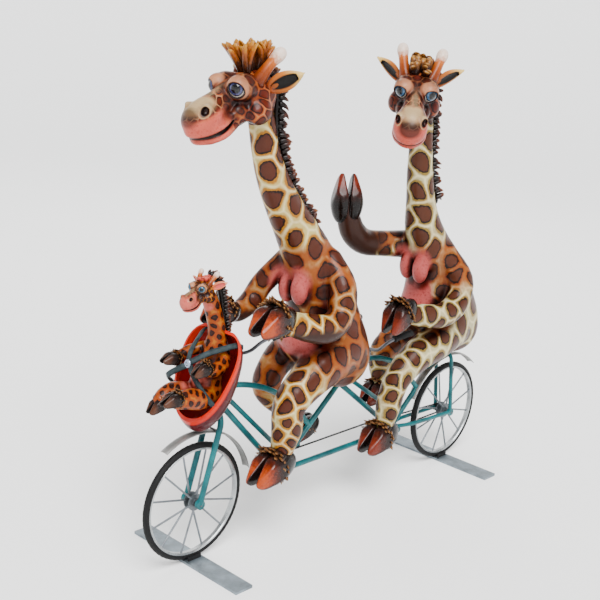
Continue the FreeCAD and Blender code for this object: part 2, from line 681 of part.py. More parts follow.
def make_rider(name, rider):
    lobes = [egg(V(*spot), 14, 12, 21) for spot in rider["lobes"]]
    keep(name + "_body", fuse_all([limb(rider["body"]), limb(rider["tail"]), *lobes]))
    parts = head_parts(1.0)
    for part, group in (("head", ["head"]), ("horns_ears", ["horns", "ears"])):
        keep(name + "_" + part, [
            placed(s, rider["skull"], rider["tilt"], rider["turn"], rider["roll"])
            for key in group for s in parts[key]
        ])
    forelock = [
        placed(s, rider["skull"], rider["tilt"], rider["turn"], rider["roll"])
        for s in parts["forelock"]
    ]
    keep(name + "_mane", fuse_all([limb(rider["mane"]), *forelock]))
    keep(name + "_arms", [limb(arm) for arm in rider["arms"]])
    keep(name + "_legs", [limb(leg) for leg in rider["legs"]])
    keep(name + "_hooves", [
        toe for x, y, z, heading, droop, size in rider["hooves"]
        for toe in hoof(V(x, y, z), heading, droop, size)
    ])
    steel = ["saddle_plates", "seat_tubes", "arch_tubes", "down_tubes", "crank_arms", "pedals",
             "front_handlebar", "rear_handlebar", "grips", "chainrings", "chains",
             "seat_stays", "rear_fender"]
    body, head = name + "_body", name + "_head"
    trim(body, *steel)
    trim(head, body)
    trim(name + "_horns_ears", head)
    for cutter in (body, head, name + "_horns_ears"):
        trim(name + "_mane", cutter)
    trim(name + "_arms", body, *steel)
    trim(name + "_legs", body, name + "_arms", *steel)
    trim(name + "_hooves", name + "_arms", name + "_legs", body, *steel)


CALF = {
    "body": [(16, 0, 186, 10, 10), (15, 0, 198, 17, 17), (13, 0, 216, 17, 17),
             (20, 0, 234, 15, 15), (26, 0, 253, 13, 12), (26, 0, 268, 10, 10),
             (23, 0, 283, 9, 9), (18, 0, 298, 9, 9), (14, 0, 308, 8, 8)],
    "limbs": [
        [(27, -9, 248, 6, 6), (18, -20, 236, 7, 7), (2, -22, 234, 7, 7), (-6, -22, 236, 5, 5)],
        [(20, 9, 249, 6, 6), (4, 17, 246, 6, 6), (-10, 20, 241, 5, 5)],
        [(8, -12, 199, 10, 10), (-13, -18, 204, 12, 12), (-29, -20, 208, 11, 11),
         (-46, -20, 209, 7, 7)],
        [(4, 11, 199, 9, 9), (-18, 13, 205, 10, 10), (-34, 12, 206, 9, 9),
         (-42, 11, 199, 6, 6)],
    ],
    "hooves": [(-14, -22, 237, 0, 10, 0.38), (-22, 20, 240, 0, -6, 0.40),
               (-54, -20, 211, 0, 0, 0.42), (-48, 10, 193, 0, 20, 0.40)],
    "mane": [(26, 0, 322, 3, 4), (29, 0, 308, 3, 4), (34, 0, 292, 3, 4), (38, 0, 276, 3, 4),
             (40, 0, 262, 2, 3)],
    "skull": V(5, -1, 318), "tilt": 14.0, "turn": 14.0, "size": 0.42,
}


def make_calf():
    keep("calf_body", limb(CALF["body"]))
    trim("calf_body", "seat_shell")
    parts = head_parts(CALF["size"])
    for part, group in (("head", ["head"]), ("horns_ears", ["horns", "ears", "forelock"])):
        keep("calf_" + part, [
            placed(s, CALF["skull"], CALF["tilt"], CALF["turn"], 0.0)
            for key in group for s in parts[key]
        ])
    keep("calf_mane", limb(CALF["mane"]))
    keep("calf_limbs", [limb(stations) for stations in CALF["limbs"]])
    keep("calf_hooves", [
        toe for x, y, z, heading, droop, size in CALF["hooves"]
        for toe in hoof(V(x, y, z), heading, droop, size)
    ])
    trim("calf_head", "calf_body")
    trim("calf_horns_ears", "calf_head")
    trim("calf_mane", "calf_body", "calf_head", "calf_horns_ears", "seat_shell")
    trim("calf_limbs", "calf_body", "seat_shell")
    trim("calf_hooves", "calf_limbs", "seat_shell", "calf_body")


BUCKLE = V(-12, -2, 240)


def make_harness():
    """Four webbing straps from the seat rim to one round buckle on the chest."""
    anchors = [
        [V(38, -32, 258), V(16, -20, 254), BUCKLE],
        [V(36, 24, 262), V(6, 12, 258), BUCKLE],
        [V(-6, -30, 192), V(-14, -22, 222), BUCKLE],
        [V(-12, 28, 208), V(-24, 14, 228), BUCKLE],
    ]
    straps = []
    for route in anchors:
        path = rounded_path(route)
        section = oval(route[0], route[1] - route[0], 3.4, 1.3)
        straps.append(path.makePipeShell([section], True, False))
    keep("harness_straps", fuse_all(straps))
    keep("harness_buckle", egg(BUCKLE + V(-2, 0, 0), 3.0, 4.6, 4.6))
    trim("harness_straps", "harness_buckle", "calf_body", "calf_limbs", "calf_hooves",
         "seat_shell")
    trim("harness_buckle", "calf_body", "calf_limbs")


make_stand()
make_wheels()
make_fork()
make_head_tube()
make_frame()
make_stays()
make_fenders()
make_handlebars()
make_saddles()
make_drive()
make_child_seat()
make_rider("front_rider", FRONT_RIDER)
make_rider("rear_rider", REAR_RIDER)
make_calf()
make_harness()

for helper in ("bracket_room",):
    nodes.pop(helper)
for name, solids in nodes.items():
    shape = solids[0] if len(solids) == 1 else Part.makeCompound(solids)
    shape.exportStep("parts/" + name + ".step")
    bad = [k for k, s in enumerate(solids) if not s.isValid()]
    print(name, len(solids), round(sum(s.Volume for s in solids)), "invalid" if bad else "")
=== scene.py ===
import json
import math

import bpy
import numpy as np
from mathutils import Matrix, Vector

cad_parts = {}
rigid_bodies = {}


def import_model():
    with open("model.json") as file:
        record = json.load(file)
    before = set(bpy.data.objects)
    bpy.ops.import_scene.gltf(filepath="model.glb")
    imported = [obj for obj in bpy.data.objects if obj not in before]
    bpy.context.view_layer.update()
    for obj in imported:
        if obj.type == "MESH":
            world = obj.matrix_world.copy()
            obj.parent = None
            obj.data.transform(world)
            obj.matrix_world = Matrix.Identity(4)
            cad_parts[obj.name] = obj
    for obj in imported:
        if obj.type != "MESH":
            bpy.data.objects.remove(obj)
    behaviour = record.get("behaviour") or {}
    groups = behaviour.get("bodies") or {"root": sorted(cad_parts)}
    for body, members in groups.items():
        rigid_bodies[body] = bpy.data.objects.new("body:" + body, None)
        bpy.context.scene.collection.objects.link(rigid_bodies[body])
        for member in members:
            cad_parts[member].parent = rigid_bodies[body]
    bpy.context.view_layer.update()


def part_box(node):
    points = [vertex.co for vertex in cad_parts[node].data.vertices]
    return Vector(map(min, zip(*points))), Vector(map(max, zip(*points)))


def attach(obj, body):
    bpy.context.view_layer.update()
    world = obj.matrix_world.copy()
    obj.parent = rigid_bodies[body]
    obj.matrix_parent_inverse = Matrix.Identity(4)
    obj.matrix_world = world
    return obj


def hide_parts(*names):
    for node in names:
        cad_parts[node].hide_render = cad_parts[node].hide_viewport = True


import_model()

import openvdb
from mathutils import Matrix, Vector

ROOT = "frame_and_riders"
MM = 0.001
FAR = 40.0  # mm, the distance of an empty field
CHUNK = 8000  # points handled at once
BRACKETS = ((134, 76), (345, 76))  # x and z of the bottom bracket shells, mm
GRIP_ENDS = (((100.0, -44, 265), (66.0, -36, 262)),  # tip and bend of each left bar end, mm
             ((314.0, -43, 224), (283.0, -37, 219)))


def add(name, data):
    """A new object in the scene."""
    made = bpy.data.objects.new(name, data)
    bpy.context.scene.collection.objects.link(made)
    return made


# ---- camera, floor and light ----
def make_camera():
    """Looks from the left front, a little down, with a slight roll."""
    yaw, pitch, roll = math.radians(46.38), math.radians(-15.695), math.radians(3.404)
    forward = Vector((math.sin(yaw) * math.cos(pitch), math.cos(yaw) * math.cos(pitch),
                      math.sin(pitch)))
    flat_right = forward.cross(Vector((0, 0, 1))).normalized()
    flat_up = flat_right.cross(forward)
    right = flat_right * math.cos(roll) + flat_up * math.sin(roll)
    up = flat_up * math.cos(roll) - flat_right * math.sin(roll)
    data = bpy.data.cameras.new("camera")
    data.sensor_width = 36.0
    data.lens = 65.56
    camera = add("camera", data)
    turn = Matrix((right, up, -forward)).transposed().to_4x4()
    camera.matrix_world = Matrix.Translation(Vector((-0.7359, -0.8485, 0.6287))) @ turn
    bpy.context.scene.camera = camera


def aim_light(name, kind, energy, toward):
    """A light that shines along a direction."""
    data = bpy.data.lights.new(name, kind)
    data.energy = energy
    light = add(name, data)
    light.rotation_euler = Vector(toward).to_track_quat("-Z", "Y").to_euler()
    return light


def make_lights():
    target = Vector((0.23, 0.0, 0.3))
    for name, place, size, energy, color in (
            ("key", (-0.9, -1.5, 1.9), 0.8, 26, (1.0, 0.98, 0.95)),
            ("back", (1.5, 1.3, 1.6), 1.2, 14, (1.0, 0.98, 0.96))):
        light = aim_light(name, "AREA", energy, target - Vector(place))
        light.location = place
        light.data.size = size
        light.data.color = color
    aim_light("sky_panel", "SUN", 5.6, (0.5, 0.8, -1.4)).data.angle = 0.7
    world = bpy.data.worlds.new("studio")
    world.use_nodes = True
    background = world.node_tree.nodes["Background"]
    background.inputs["Color"].default_value = (1, 1, 1, 1)
    background.inputs["Strength"].default_value = 0.65
    bpy.context.scene.world = world


# ---- materials ----
class Material:
    """A principled material and short ways to add nodes to it."""

    def __init__(self, name, roughness=0.5, metallic=0.0, coat=0.0, specular=0.5):
        self.material = bpy.data.materials.new(name)
        self.material.use_nodes = True
        self.tree = self.material.node_tree
        self.shader = self.tree.nodes["Principled BSDF"]
        self.shader.inputs["Roughness"].default_value = roughness
        self.shader.inputs["Metallic"].default_value = metallic
        self.shader.inputs["Coat Weight"].default_value = coat
        self.shader.inputs["Specular IOR Level"].default_value = specular

    def new(self, kind, operation=None):
        made = self.tree.nodes.new("ShaderNode" + kind)
        if operation:
            made.operation = operation
        return made

    def node(self, kind, **inputs):
        made = self.new(kind)
        for name, value in inputs.items():
            self.put(made.inputs[name.replace("_", " ")], value)
        return made

    def put(self, socket, value):
        if isinstance(value, bpy.types.NodeSocket):
            self.tree.links.new(value, socket)
        else:
            socket.default_value = value

    def attribute(self, name):
        made = self.new("Attribute")
        made.attribute_name = name
        return made.outputs["Fac"]

    def place(self):
        return self.new("TexCoord").outputs["Object"]

    def noise(self, scale, detail=3.0, rough=0.5):
        made = self.node("TexNoise", Vector=self.place(), Scale=scale, Detail=detail,
                         Roughness=rough)
        return made.outputs["Fac"]

    def math(self, operation, first, second=0.0, clamp=False):
        made = self.new("Math", operation)
        made.use_clamp = clamp
        self.put(made.inputs[0], first)
        self.put(made.inputs[1], second)
        return made.outputs[0]

    def vector(self, operation, first, second):
        made = self.new("VectorMath", operation)
        self.put(made.inputs[0], first)
        self.put(made.inputs[1], second)
        return made.outputs

    def remap(self, value, low, high, out_low=0.0, out_high=1.0):
        made = self.node("MapRange", Value=value)
        for name, number in (("From Min", low), ("From Max", high), ("To Min", out_low),
                             ("To Max", out_high)):
            made.inputs[name].default_value = number
        return made.outputs["Result"]

    def ramp(self, value, stops):
        made = self.node("ValToRGB", Fac=value)
        elements = made.color_ramp.elements
        while len(elements) > 1:
            elements.remove(elements[-1])
        elements[0].position = stops[0][0]
        elements[0].color = rgba(stops[0][1])
        for position, color in stops[1:]:
            elements.new(position).color = rgba(color)
        return made.outputs["Color"]

    def mix(self, factor, first, second, blend="MIX"):
        made = self.new("Mix")
        made.data_type = "RGBA"
        made.blend_type = blend
        self.put(made.inputs[0], factor)
        self.put(made.inputs[6], rgba(first) if isinstance(first, tuple) else first)
        self.put(made.inputs[7], rgba(second) if isinstance(second, tuple) else second)
        return made.outputs[2]

    def color(self, value):
        self.put(self.shader.inputs["Base Color"], value)
        return self

    def rough(self, value):
        self.put(self.shader.inputs["Roughness"], value)
        return self

    def bump(self, height, strength, distance):
        made = self.node("Bump", Height=height, Strength=strength, Distance=distance)
        self.put(self.shader.inputs["Normal"], made.outputs["Normal"])
        return self


def linear(channel):
    """One display channel, 0 to 255, as linear light."""
    share = channel / 255
    return share / 12.92 if share <= 0.04045 else ((share + 0.055) / 1.055) ** 2.4


def rgba(color):
    return (*(linear(c) for c in color), 1.0)


def deeper(color, value=0.86, power=1.5):
    """The same hue, darker and more saturated."""
    return tuple(255 * value * (c / 255) ** power for c in color)


def enamel(name, light, dark, roughness=0.3):
    """Brushed-on enamel: darker where it pools, with faint strokes and small chips of wear."""
    m = Material(name, roughness, coat=0.1, specular=0.2)
    broad = m.noise(45.0, 4.0)
    fine = m.noise(420.0, 2.0)
    base = m.ramp(m.remap(broad, 0.3, 0.7), [(0.0, dark), (1.0, light)])
    worn = m.remap(fine, 0.66, 0.74)
    base = m.mix(m.math("MULTIPLY", worn, 0.35), base, tuple(0.5 * c + 60 for c in light))
    m.color(base)
    m.rough(m.remap(broad, 0.3, 0.7, roughness + 0.12, roughness - 0.06))
    return m.bump(fine, 0.12, 0.0004).material


def metal(name, color, roughness, metallic=0.75, mottled=0.25):
    """Plain metal with fine grain and broad tarnish."""
    m = Material(name, roughness, metallic)
    broad = m.noise(60.0, 5.0)
    fine = m.noise(900.0, 2.0)
    shade = tuple(c * (1 - mottled) for c in color)
    m.color(m.ramp(m.remap(broad, 0.32, 0.68), [(0.0, shade), (1.0, color)]))
    m.rough(m.remap(fine, 0.3, 0.7, roughness - 0.08, roughness + 0.1))
    return m.bump(fine, 0.15, 0.0003).material


def rubber(name, color):
    m = Material(name, 0.62, specular=0.18)
    fine = m.noise(700.0, 3.0)
    m.color(m.ramp(fine, [(0.3, color), (0.7, tuple(c + 8 for c in color))]))
    return m.bump(fine, 0.25, 0.0004).material


def coat(name, net, halo, patch, outline, warm_net, warm_halo, pink, deep, gloss=0.34):
    """Painted hide. The attribute spot is the depth in mm inside a patch, negative outside.

    From the middle of the net inwards: net colour, halo, dark outline, patch. The attributes
    warm, pink and dark tint zones; the warm zones and the dark zones under the front rider's
    forearms and under the jaws are partly painted shade. Two occlusion attributes paint shade
    into folds and recesses, darker still in deep folds.
    """
    m = Material(name, gloss + 0.04, coat=0.05, specular=0.14)
    net, halo, patch, outline, warm_net, warm_halo, pink, deep = (
        deeper(c) for c in (net, halo, patch, outline, warm_net, warm_halo, pink, deep))
    pale, light = (168, 142, 104), (214, 202, 158)
    ragged = m.remap(m.noise(260.0, 2.0), 0.3, 0.7, -0.7, 0.7)
    depth = m.remap(m.math("ADD", m.attribute("spot"), ragged), -5.0, 5.0)
    inner = tuple(0.8 * p + 0.2 * q for p, q in zip(patch, (70, 44, 28)))
    cream = m.ramp(depth, [(0.0, net), (0.12, net), (0.3, halo), (0.45, halo), (0.49, outline),
                           (0.58, outline), (0.7, patch), (1.0, inner)])
    cream = m.mix(m.attribute("ridge"), cream, light)
    tan = m.ramp(depth, [(0.0, warm_net), (0.2, warm_net), (0.44, warm_halo), (0.5, outline),
                         (0.58, outline), (0.72, patch), (1.0, patch)])
    blotch = m.remap(m.noise(38.0, 3.0), 0.35, 0.65, -0.25, 0.25)
    # the warm zones are partly painted shade, so the darker tan ramp stands in for shade there
    warm = m.math("ADD", m.attribute("warm"), blotch, clamp=True)
    base = m.mix(warm, cream, tan)
    base = m.mix(m.attribute("pale"), base, m.mix(m.noise(120.0), pale, tuple(
        0.86 * c for c in pale)))
    freckle = m.remap(m.noise(330.0, 2.0), 0.55, 0.66)
    blush = m.mix(m.math("MULTIPLY", freckle, 0.5), pink, deep)
    base = m.mix(m.attribute("pink"), base, blush)
    # dark: dark paint on eyes, mouth, nostrils and the rear rider's waving arm, and painted shade
    # under the front rider's forearms and the jaws
    base = m.mix(m.attribute("dark"), base, (42, 21, 14))
    # painted shade: colour darkened where the surface is shut in, and darker still in the deepest
    # folds
    shade = m.math("MULTIPLY", m.attribute("shade"), 2.2, clamp=True)
    base = m.mix(shade, base, (140, 74, 40), "MULTIPLY")
    fold = m.attribute("cavity")
    base = m.mix(m.math("MULTIPLY", fold, 1.3, clamp=True), base, (150, 84, 56), "MULTIPLY")
    base = m.mix(m.remap(fold, 0.45, 0.95), base, tuple(0.5 * c for c in outline))
    m.color(base)
    m.rough(m.remap(m.noise(90.0), 0.3, 0.7, gloss - 0.06, gloss + 0.12))
    return m.bump(m.noise(650.0, 3.0), 0.12, 0.0004).material


def graded(name, stops, gloss=0.3, coat=0.1, streaky=0.12):
    """A glossy painted piece whose colour runs along its attribute along, from 0 to 1."""
    m = Material(name, gloss, coat=coat, specular=0.16)
    streak = m.remap(m.noise(300.0, 3.0), 0.3, 0.7, -streaky, streaky)
    stops = [(position, deeper(color, 0.9, 1.4)) for position, color in stops]
    m.color(m.ramp(m.math("ADD", m.attribute("along"), streak, clamp=True), stops))
    m.rough(m.remap(m.noise(120.0), 0.3, 0.7, gloss - 0.05, gloss + 0.12))
    return m.bump(m.noise(500.0, 3.0), 0.15, 0.0004).material


def ear_paint(name, leaf, hollow):
    m = Material(name, 0.42, coat=0.05, specular=0.15)
    m.color(m.mix(m.attribute("hollow"), m.ramp(m.attribute("along"), leaf), hollow))
    return m.bump(m.noise(400.0), 0.15, 0.0004).material


def strap_paint():
    m = Material("strap_weave", 0.6, specular=0.15)
    weave = m.node("TexWave", Vector=m.place(), Scale=420.0, Distortion=0.6)
    m.color(m.ramp(m.noise(120.0), [(0.3, (26, 34, 36)), (0.7, (50, 62, 66))]))
    return m.bump(weave.outputs["Fac"], 0.5, 0.0003).material


# ---- small geometry ----
def clamp(value):
    return np.clip(value, 0, 1)


def lengths(vectors):
    return np.linalg.norm(vectors, axis=1)


def unit(vector):
    return vector / np.linalg.norm(vector)


def square_to(vector, axis):
    """A unit vector: the part of a vector at right angles to an axis."""
    return unit(vector - axis * (vector @ axis))


def circle(count):
    """Cosine and sine at equal steps of a full turn."""
    return [(math.cos(2 * math.pi * k / count), math.sin(2 * math.pi * k / count))
            for k in range(count)]


def ring_faces(rings, sides, start=0, caps=False, closed=False, flipped=False):
    """Quads between rings of points. closed joins the last ring to the first."""
    faces = []
    for ring in range(rings if closed else rings - 1):
        here, after = start + ring * sides, start + (ring + 1) % rings * sides
        for k in range(sides):
            n = (k + 1) % sides
            quad = [here + k, here + n, after + n, after + k]
            faces.append([quad[0], *quad[:0:-1]] if flipped else quad)
    if caps:
        faces.append(list(range(sides))[::-1])
        faces.append([(rings - 1) * sides + k for k in range(sides)])
    return faces


def folded(points):
    """The points with the right side mirrored onto the left."""
    return np.abs(points, where=[False, True, False], out=points.copy())


# ---- fields: solids grown from distances on a grid, in millimetres ----
class Field:
    def __init__(self, low, high, cell):
        self.low = np.array(low, np.float32)
        self.cell = cell
        counts = np.ceil((np.array(high) - self.low) / cell).astype(int) + 1
        self.axes = [self.low[i] + cell * np.arange(counts[i], dtype=np.float32)
                     for i in range(3)]
        self.value = np.full(counts, FAR, np.float32)

    def part(self, low, high):
        """The slices and open coordinate arrays of a box of the grid."""
        slices, coords = [], []
        for i in range(3):
            start = int(np.clip((low[i] - self.low[i]) // self.cell, 0, len(self.axes[i]) - 1))
            stop = int(np.clip((high[i] - self.low[i]) // self.cell + 2, 1, len(self.axes[i])))
            slices.append(slice(start, max(stop, start + 1)))
            shape = [1, 1, 1]
            shape[i] = -1
            coords.append(self.axes[i][slices[i]].reshape(shape))
        return tuple(slices), coords

    def join(self, slices, distance, soft):
        """Adds a solid, with a fillet of about soft millimetres."""
        here = self.value[slices]
        if soft <= 0:
            self.value[slices] = np.minimum(here, distance)
            return
        overlap = np.maximum(soft - np.abs(here - distance), 0) / soft
        self.value[slices] = np.minimum(here, distance) - overlap * overlap * soft * 0.25

    def carve(self, slices, distance, soft):
        """Takes a solid away, with a rounded edge."""
        here = self.value[slices]
        overlap = np.maximum(soft - np.abs(here + distance), 0) / soft
        self.value[slices] = np.maximum(here, -distance) + overlap * overlap * soft * 0.25

    def chain(self, stations, soft, grow=0.0, carve=False):
        """A limb through stations of (x, y, z, half width along Y, half depth)."""
        fine = smooth_stations(stations)
        reach = fine[:, 3:].max() + soft + 3 * self.cell + grow
        low, high = fine[:, :3].min(0) - reach, fine[:, :3].max(0) + reach
        slices, _ = self.part(low, high)
        offset = [s.start for s in slices]
        local = np.full([s.stop - s.start for s in slices], FAR, np.float32)
        for first, second in zip(fine, fine[1:]):
            pad = max(first[3:].max(), second[3:].max()) + soft + 3 * self.cell + grow
            box_low = np.minimum(first[:3], second[:3]) - pad
            box_high = np.maximum(first[:3], second[:3]) + pad
            sub, (x, y, z) = self.part(box_low, box_high)
            inner = tuple(slice(s.start - o, s.stop - o) for s, o in zip(sub, offset))
            along = second[:3] - first[:3]
            length2 = max(float(along @ along), 1e-6)
            share = ((x - first[0]) * along[0] + (y - first[1]) * along[1]
                     + (z - first[2]) * along[2]) / length2
            share = clamp(share)
            wide = first[3] + share * (second[3] - first[3]) + grow
            deep = first[4] + share * (second[4] - first[4]) + grow
            off_x = x - first[0] - share * along[0]
            off_y = (y - first[1] - share * along[1]) * (deep / wide)
            off_z = z - first[2] - share * along[2]
            near = np.sqrt(off_x ** 2 + off_y ** 2 + off_z ** 2) - deep
            local[inner] = np.minimum(local[inner], near)
        (self.carve if carve else self.join)(slices, local, soft)

    def egg(self, center, radii, soft, turn=None, carve=False):
        """An ellipsoid. turn is a 3 by 3 rotation from its own axes."""
        center = np.array(center, np.float32)
        reach = max(radii) + abs(soft) + 3 * self.cell
        slices, (x, y, z) = self.part(center - reach, center + reach)
        offset = [x - center[0], y - center[1], z - center[2]]
        if turn is not None:
            offset = [sum(float(turn[j][i]) * offset[j] for j in range(3)) for i in range(3)]
        scaled = sum((o / r) ** 2 for o, r in zip(offset, radii))
        steeper = sum((o / (r * r)) ** 2 for o, r in zip(offset, radii))
        k0 = np.sqrt(scaled)
        distance = k0 * (k0 - 1) / np.maximum(np.sqrt(steeper), 1e-5)
        (self.carve if carve else self.join)(slices, distance, soft)

    def sample(self, points):
        index = np.rint((points - self.low) / self.cell).astype(int)
        limit = np.array(self.value.shape) - 1
        index = np.clip(index, 0, limit)
        return self.value[index[:, 0], index[:, 1], index[:, 2]]

    def surface(self, rounds=2):
        """The zero surface as (points in mm, quads), lightly relaxed."""
        grid = openvdb.FloatGrid(FAR)
        grid.copyFromArray(np.ascontiguousarray(self.value))
        points, quads = grid.convertToQuads(0.0)
        points = points.astype(np.float64) * self.cell + self.low
        quads = quads.astype(np.int64)
        for _ in range(rounds):
            points = relaxed(points, quads)
        p = [points[quads[:, i]] for i in range(4)]
        volume = np.einsum("ij,ij->i", p[0], np.cross(p[1], p[2])).sum()
        volume += np.einsum("ij,ij->i", p[0], np.cross(p[2], p[3])).sum()
        return points, (quads if volume > 0 else quads[:, ::-1])


def relaxed(points, quads, amount=0.5):
    """One step of each point towards the middle of its neighbours."""
    total = np.zeros_like(points)
    count = np.zeros(len(points))
    for i in range(4):
        start, end = quads[:, i], quads[:, (i + 1) % 4]
        for a, b in ((start, end), (end, start)):
            count += np.bincount(a, minlength=len(points))
            for axis in range(3):
                total[:, axis] += np.bincount(a, weights=points[b, axis], minlength=len(points))
    middle = total / np.maximum(count, 1)[:, None]
    return points + amount * (middle - points)


def smooth_stations(stations, steps=4):
    """More stations on a smooth curve through the given ones."""
    rows = np.array(stations, float)
    padded = np.vstack([2 * rows[0] - rows[1], rows, 2 * rows[-1] - rows[-2]])
    out = []
    for k in range(1, len(padded) - 2):
        a, b, c, d = padded[k - 1:k + 3]
        for step in range(steps):
            t = step / steps
            out.append(0.5 * (2 * b + (c - a) * t + (2 * a - 5 * b + 4 * c - d) * t ** 2
                              + (3 * b - a - 3 * c + d) * t ** 3))
    out.append(rows[-1])
    out = np.array(out)
    if out.shape[1] > 3:
        out[:, 3:] = np.maximum(out[:, 3:], 0.4)
    return out


def normals_of(points, quads):
    cross = np.cross(points[quads[:, 2]] - points[quads[:, 0]],
                     points[quads[:, 3]] - points[quads[:, 1]])
    normal = np.zeros_like(points)
    for i in range(4):
        for axis in range(3):
            normal[:, axis] += np.bincount(quads[:, i], weights=cross[:, axis],
                                           minlength=len(points))
    return normal / np.maximum(lengths(normal), 1e-9)[:, None]


def make_object(name, points_mm, faces, material, body=ROOT, replaced=(),
                attributes=None):
    """A smooth-shaded piece that rides on a body. Points are in millimetres."""
    points = np.asarray(points_mm, float) * MM
    mesh = bpy.data.meshes.new(name)
    if isinstance(faces, np.ndarray):
        faces = faces.tolist()
    mesh.from_pydata(points.tolist(), [], faces)
    mesh.update()
    mesh.polygons.foreach_set("use_smooth", [True] * len(mesh.polygons))
    for key, values in (attributes or {}).items():
        layer = mesh.attributes.new(key, "FLOAT", "POINT")
        layer.data.foreach_set("value", np.asarray(values, np.float32))
    mesh.materials.append(material)
    piece = add(name, mesh)
    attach(piece, body)
    if replaced:
        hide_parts(*replaced)
    return piece


# ---- painted patches ----
def patch_depth(points, spacing, seed, gap, reach, stretch=(1.0, 1.0, 1.0)):
    """Depth in mm inside the nearest patch, negative in the net between patches."""
    rng = np.random.default_rng(seed)
    order = rng.permutation(len(points))[:7000]
    wobble = points + 2.2 * np.sin(points[:, [1, 2, 0]] * 0.21 + 1.3)
    wobble = wobble * np.array(stretch)
    seeds, rooms = [], []
    for index in order:
        here = wobble[index]
        if seeds:
            apart = lengths(np.array(seeds) - here)
            if (apart < 0.5 * (np.array(rooms) + spacing[index])).any():
                continue
        seeds.append(here)
        rooms.append(spacing[index])
    seeds, rooms = np.array(seeds), np.array(rooms)
    sample = wobble[order]
    for _ in range(3):
        apart = np.linalg.norm(sample[:, None, :] - seeds[None], axis=2)
        owner = (apart / rooms).argmin(axis=1)
        count = np.bincount(owner, minlength=len(seeds))[:, None]
        middle = np.stack([np.bincount(owner, sample[:, i], len(seeds)) for i in range(3)], 1)
        seeds = np.where(count > 4, 0.3 * seeds + 0.7 * middle / np.maximum(count, 1), seeds)
    size = rng.uniform(0.9, 1.12, len(seeds))
    out, ridge = np.empty(len(points)), np.empty(len(points))
    for start in range(0, len(points), CHUNK):
        chunk = wobble[start:start + CHUNK]
        apart = np.linalg.norm(chunk[:, None, :] - seeds[None], axis=2)
        nearest = np.argpartition(apart, 1, axis=1)[:, :2]
        pair = np.take_along_axis(apart, nearest, 1)
        swap = pair[:, 0] > pair[:, 1]
        pair[swap] = pair[swap][:, ::-1]
        owner = np.where(swap, nearest[:, 1], nearest[:, 0])
        room = rooms[owner]
        border = (pair[:, 1] - pair[:, 0]) * 0.5
        edge = border - gap * room
        disc = reach * room * size[owner] - pair[:, 0]
        rounding = np.maximum(0.16 * room - np.abs(edge - disc), 0) ** 2 / (0.64 * room)
        out[start:start + CHUNK] = np.minimum(edge, disc) - rounding
        ridge[start:start + CHUNK] = clamp(1 - border / (0.075 * room))
    return out, ridge


def falloff(points, center, radii, edge=0.35):
    """1 inside an ellipsoid, fading to 0 over its edge."""
    scaled = lengths((points - np.array(center)) / np.array(radii))
    return clamp((1 + edge - scaled) / edge)


def tinted(points, zones, edge):
    """The strongest of several zones, each a centre and radii, at every point."""
    total = np.zeros(len(points))
    for center, radii in zones:
        total = np.maximum(total, falloff(points, center, radii, edge))
    return total


def nearest_chain(points, chains):
    """For each point, the index of the nearest limb and how far along it the point is."""
    best = np.full(len(points), 1e9)
    label = np.zeros(len(points), int)
    along = np.zeros(len(points))
    for index, stations in enumerate(chains):
        fine = smooth_stations(stations)
        for k, row in enumerate(fine):
            distance = lengths(points - row[:3]) - 0.5 * (row[3] + row[4])
            closer = distance < best
            best[closer] = distance[closer]
            label[closer] = index
            along[closer] = k / (len(fine) - 1)
    return label, along


# ---- locks of hair ----
def lock(base, direction, outward, length, radius, curl, rings=7, blunt=0.65, flat=0.62):
    """One flattened, curling lock, rounder at the tip where blunt is smaller."""
    sides = 7
    direction = unit(direction)
    side = np.cross(direction, outward)
    side /= max(np.linalg.norm(side), 1e-6)
    lift = np.cross(side, direction)
    points, along = [], []
    for ring in range(rings):
        t = ring / (rings - 1)
        spine = base + direction * length * t * (1 - 0.18 * t * t) + lift * curl * length * t * t
        thick = radius * (max(math.cos(t * math.pi / 2), 0.0) ** blunt + 0.02) * (0.72 + 0.4 * t)
        for x, y in circle(sides):
            points.append(spine + side * thick * x + lift * thick * flat * y)
            along.append(t)
    return points, ring_faces(rings, sides, caps=True), along


def gather(parts):
    """Joins (points, faces, attribute) triples into one."""
    points, faces, along = [], [], []
    for p, f, a in parts:
        start = len(points)
        points += list(p)
        faces += [[i + start for i in face] for face in f]
        along += list(a)
    return np.array(points), faces, np.array(along)


# ---- where things sit ----
def turn_about(axis, degrees):
    return np.array(Matrix.Rotation(math.radians(degrees), 3, axis))


class Place:
    """A part's own frame, with its nose along +X, set into the object's frame."""

    def __init__(self, origin, turn, size=1.0):
        self.origin = np.array(origin, float)
        self.turn = turn
        self.size = size

    def out(self, points):
        return self.origin + (np.asarray(points, float) * self.size) @ self.turn.T

    def back(self, points):
        return (np.asarray(points, float) - self.origin) @ self.turn / self.size


def head_place(rider):
    turn = (turn_about("Z", 180 + rider["turn"]) @ turn_about("Y", rider["tilt"])
            @ turn_about("X", rider["roll"]))
    return Place(rider["skull"], turn, rider["size"])


def hoof_place(hoof):
    x, y, z, heading, droop, size = hoof
    turn = turn_about("Z", heading) @ turn_about("Y", -droop)
    return Place((x, y, z), turn, size)
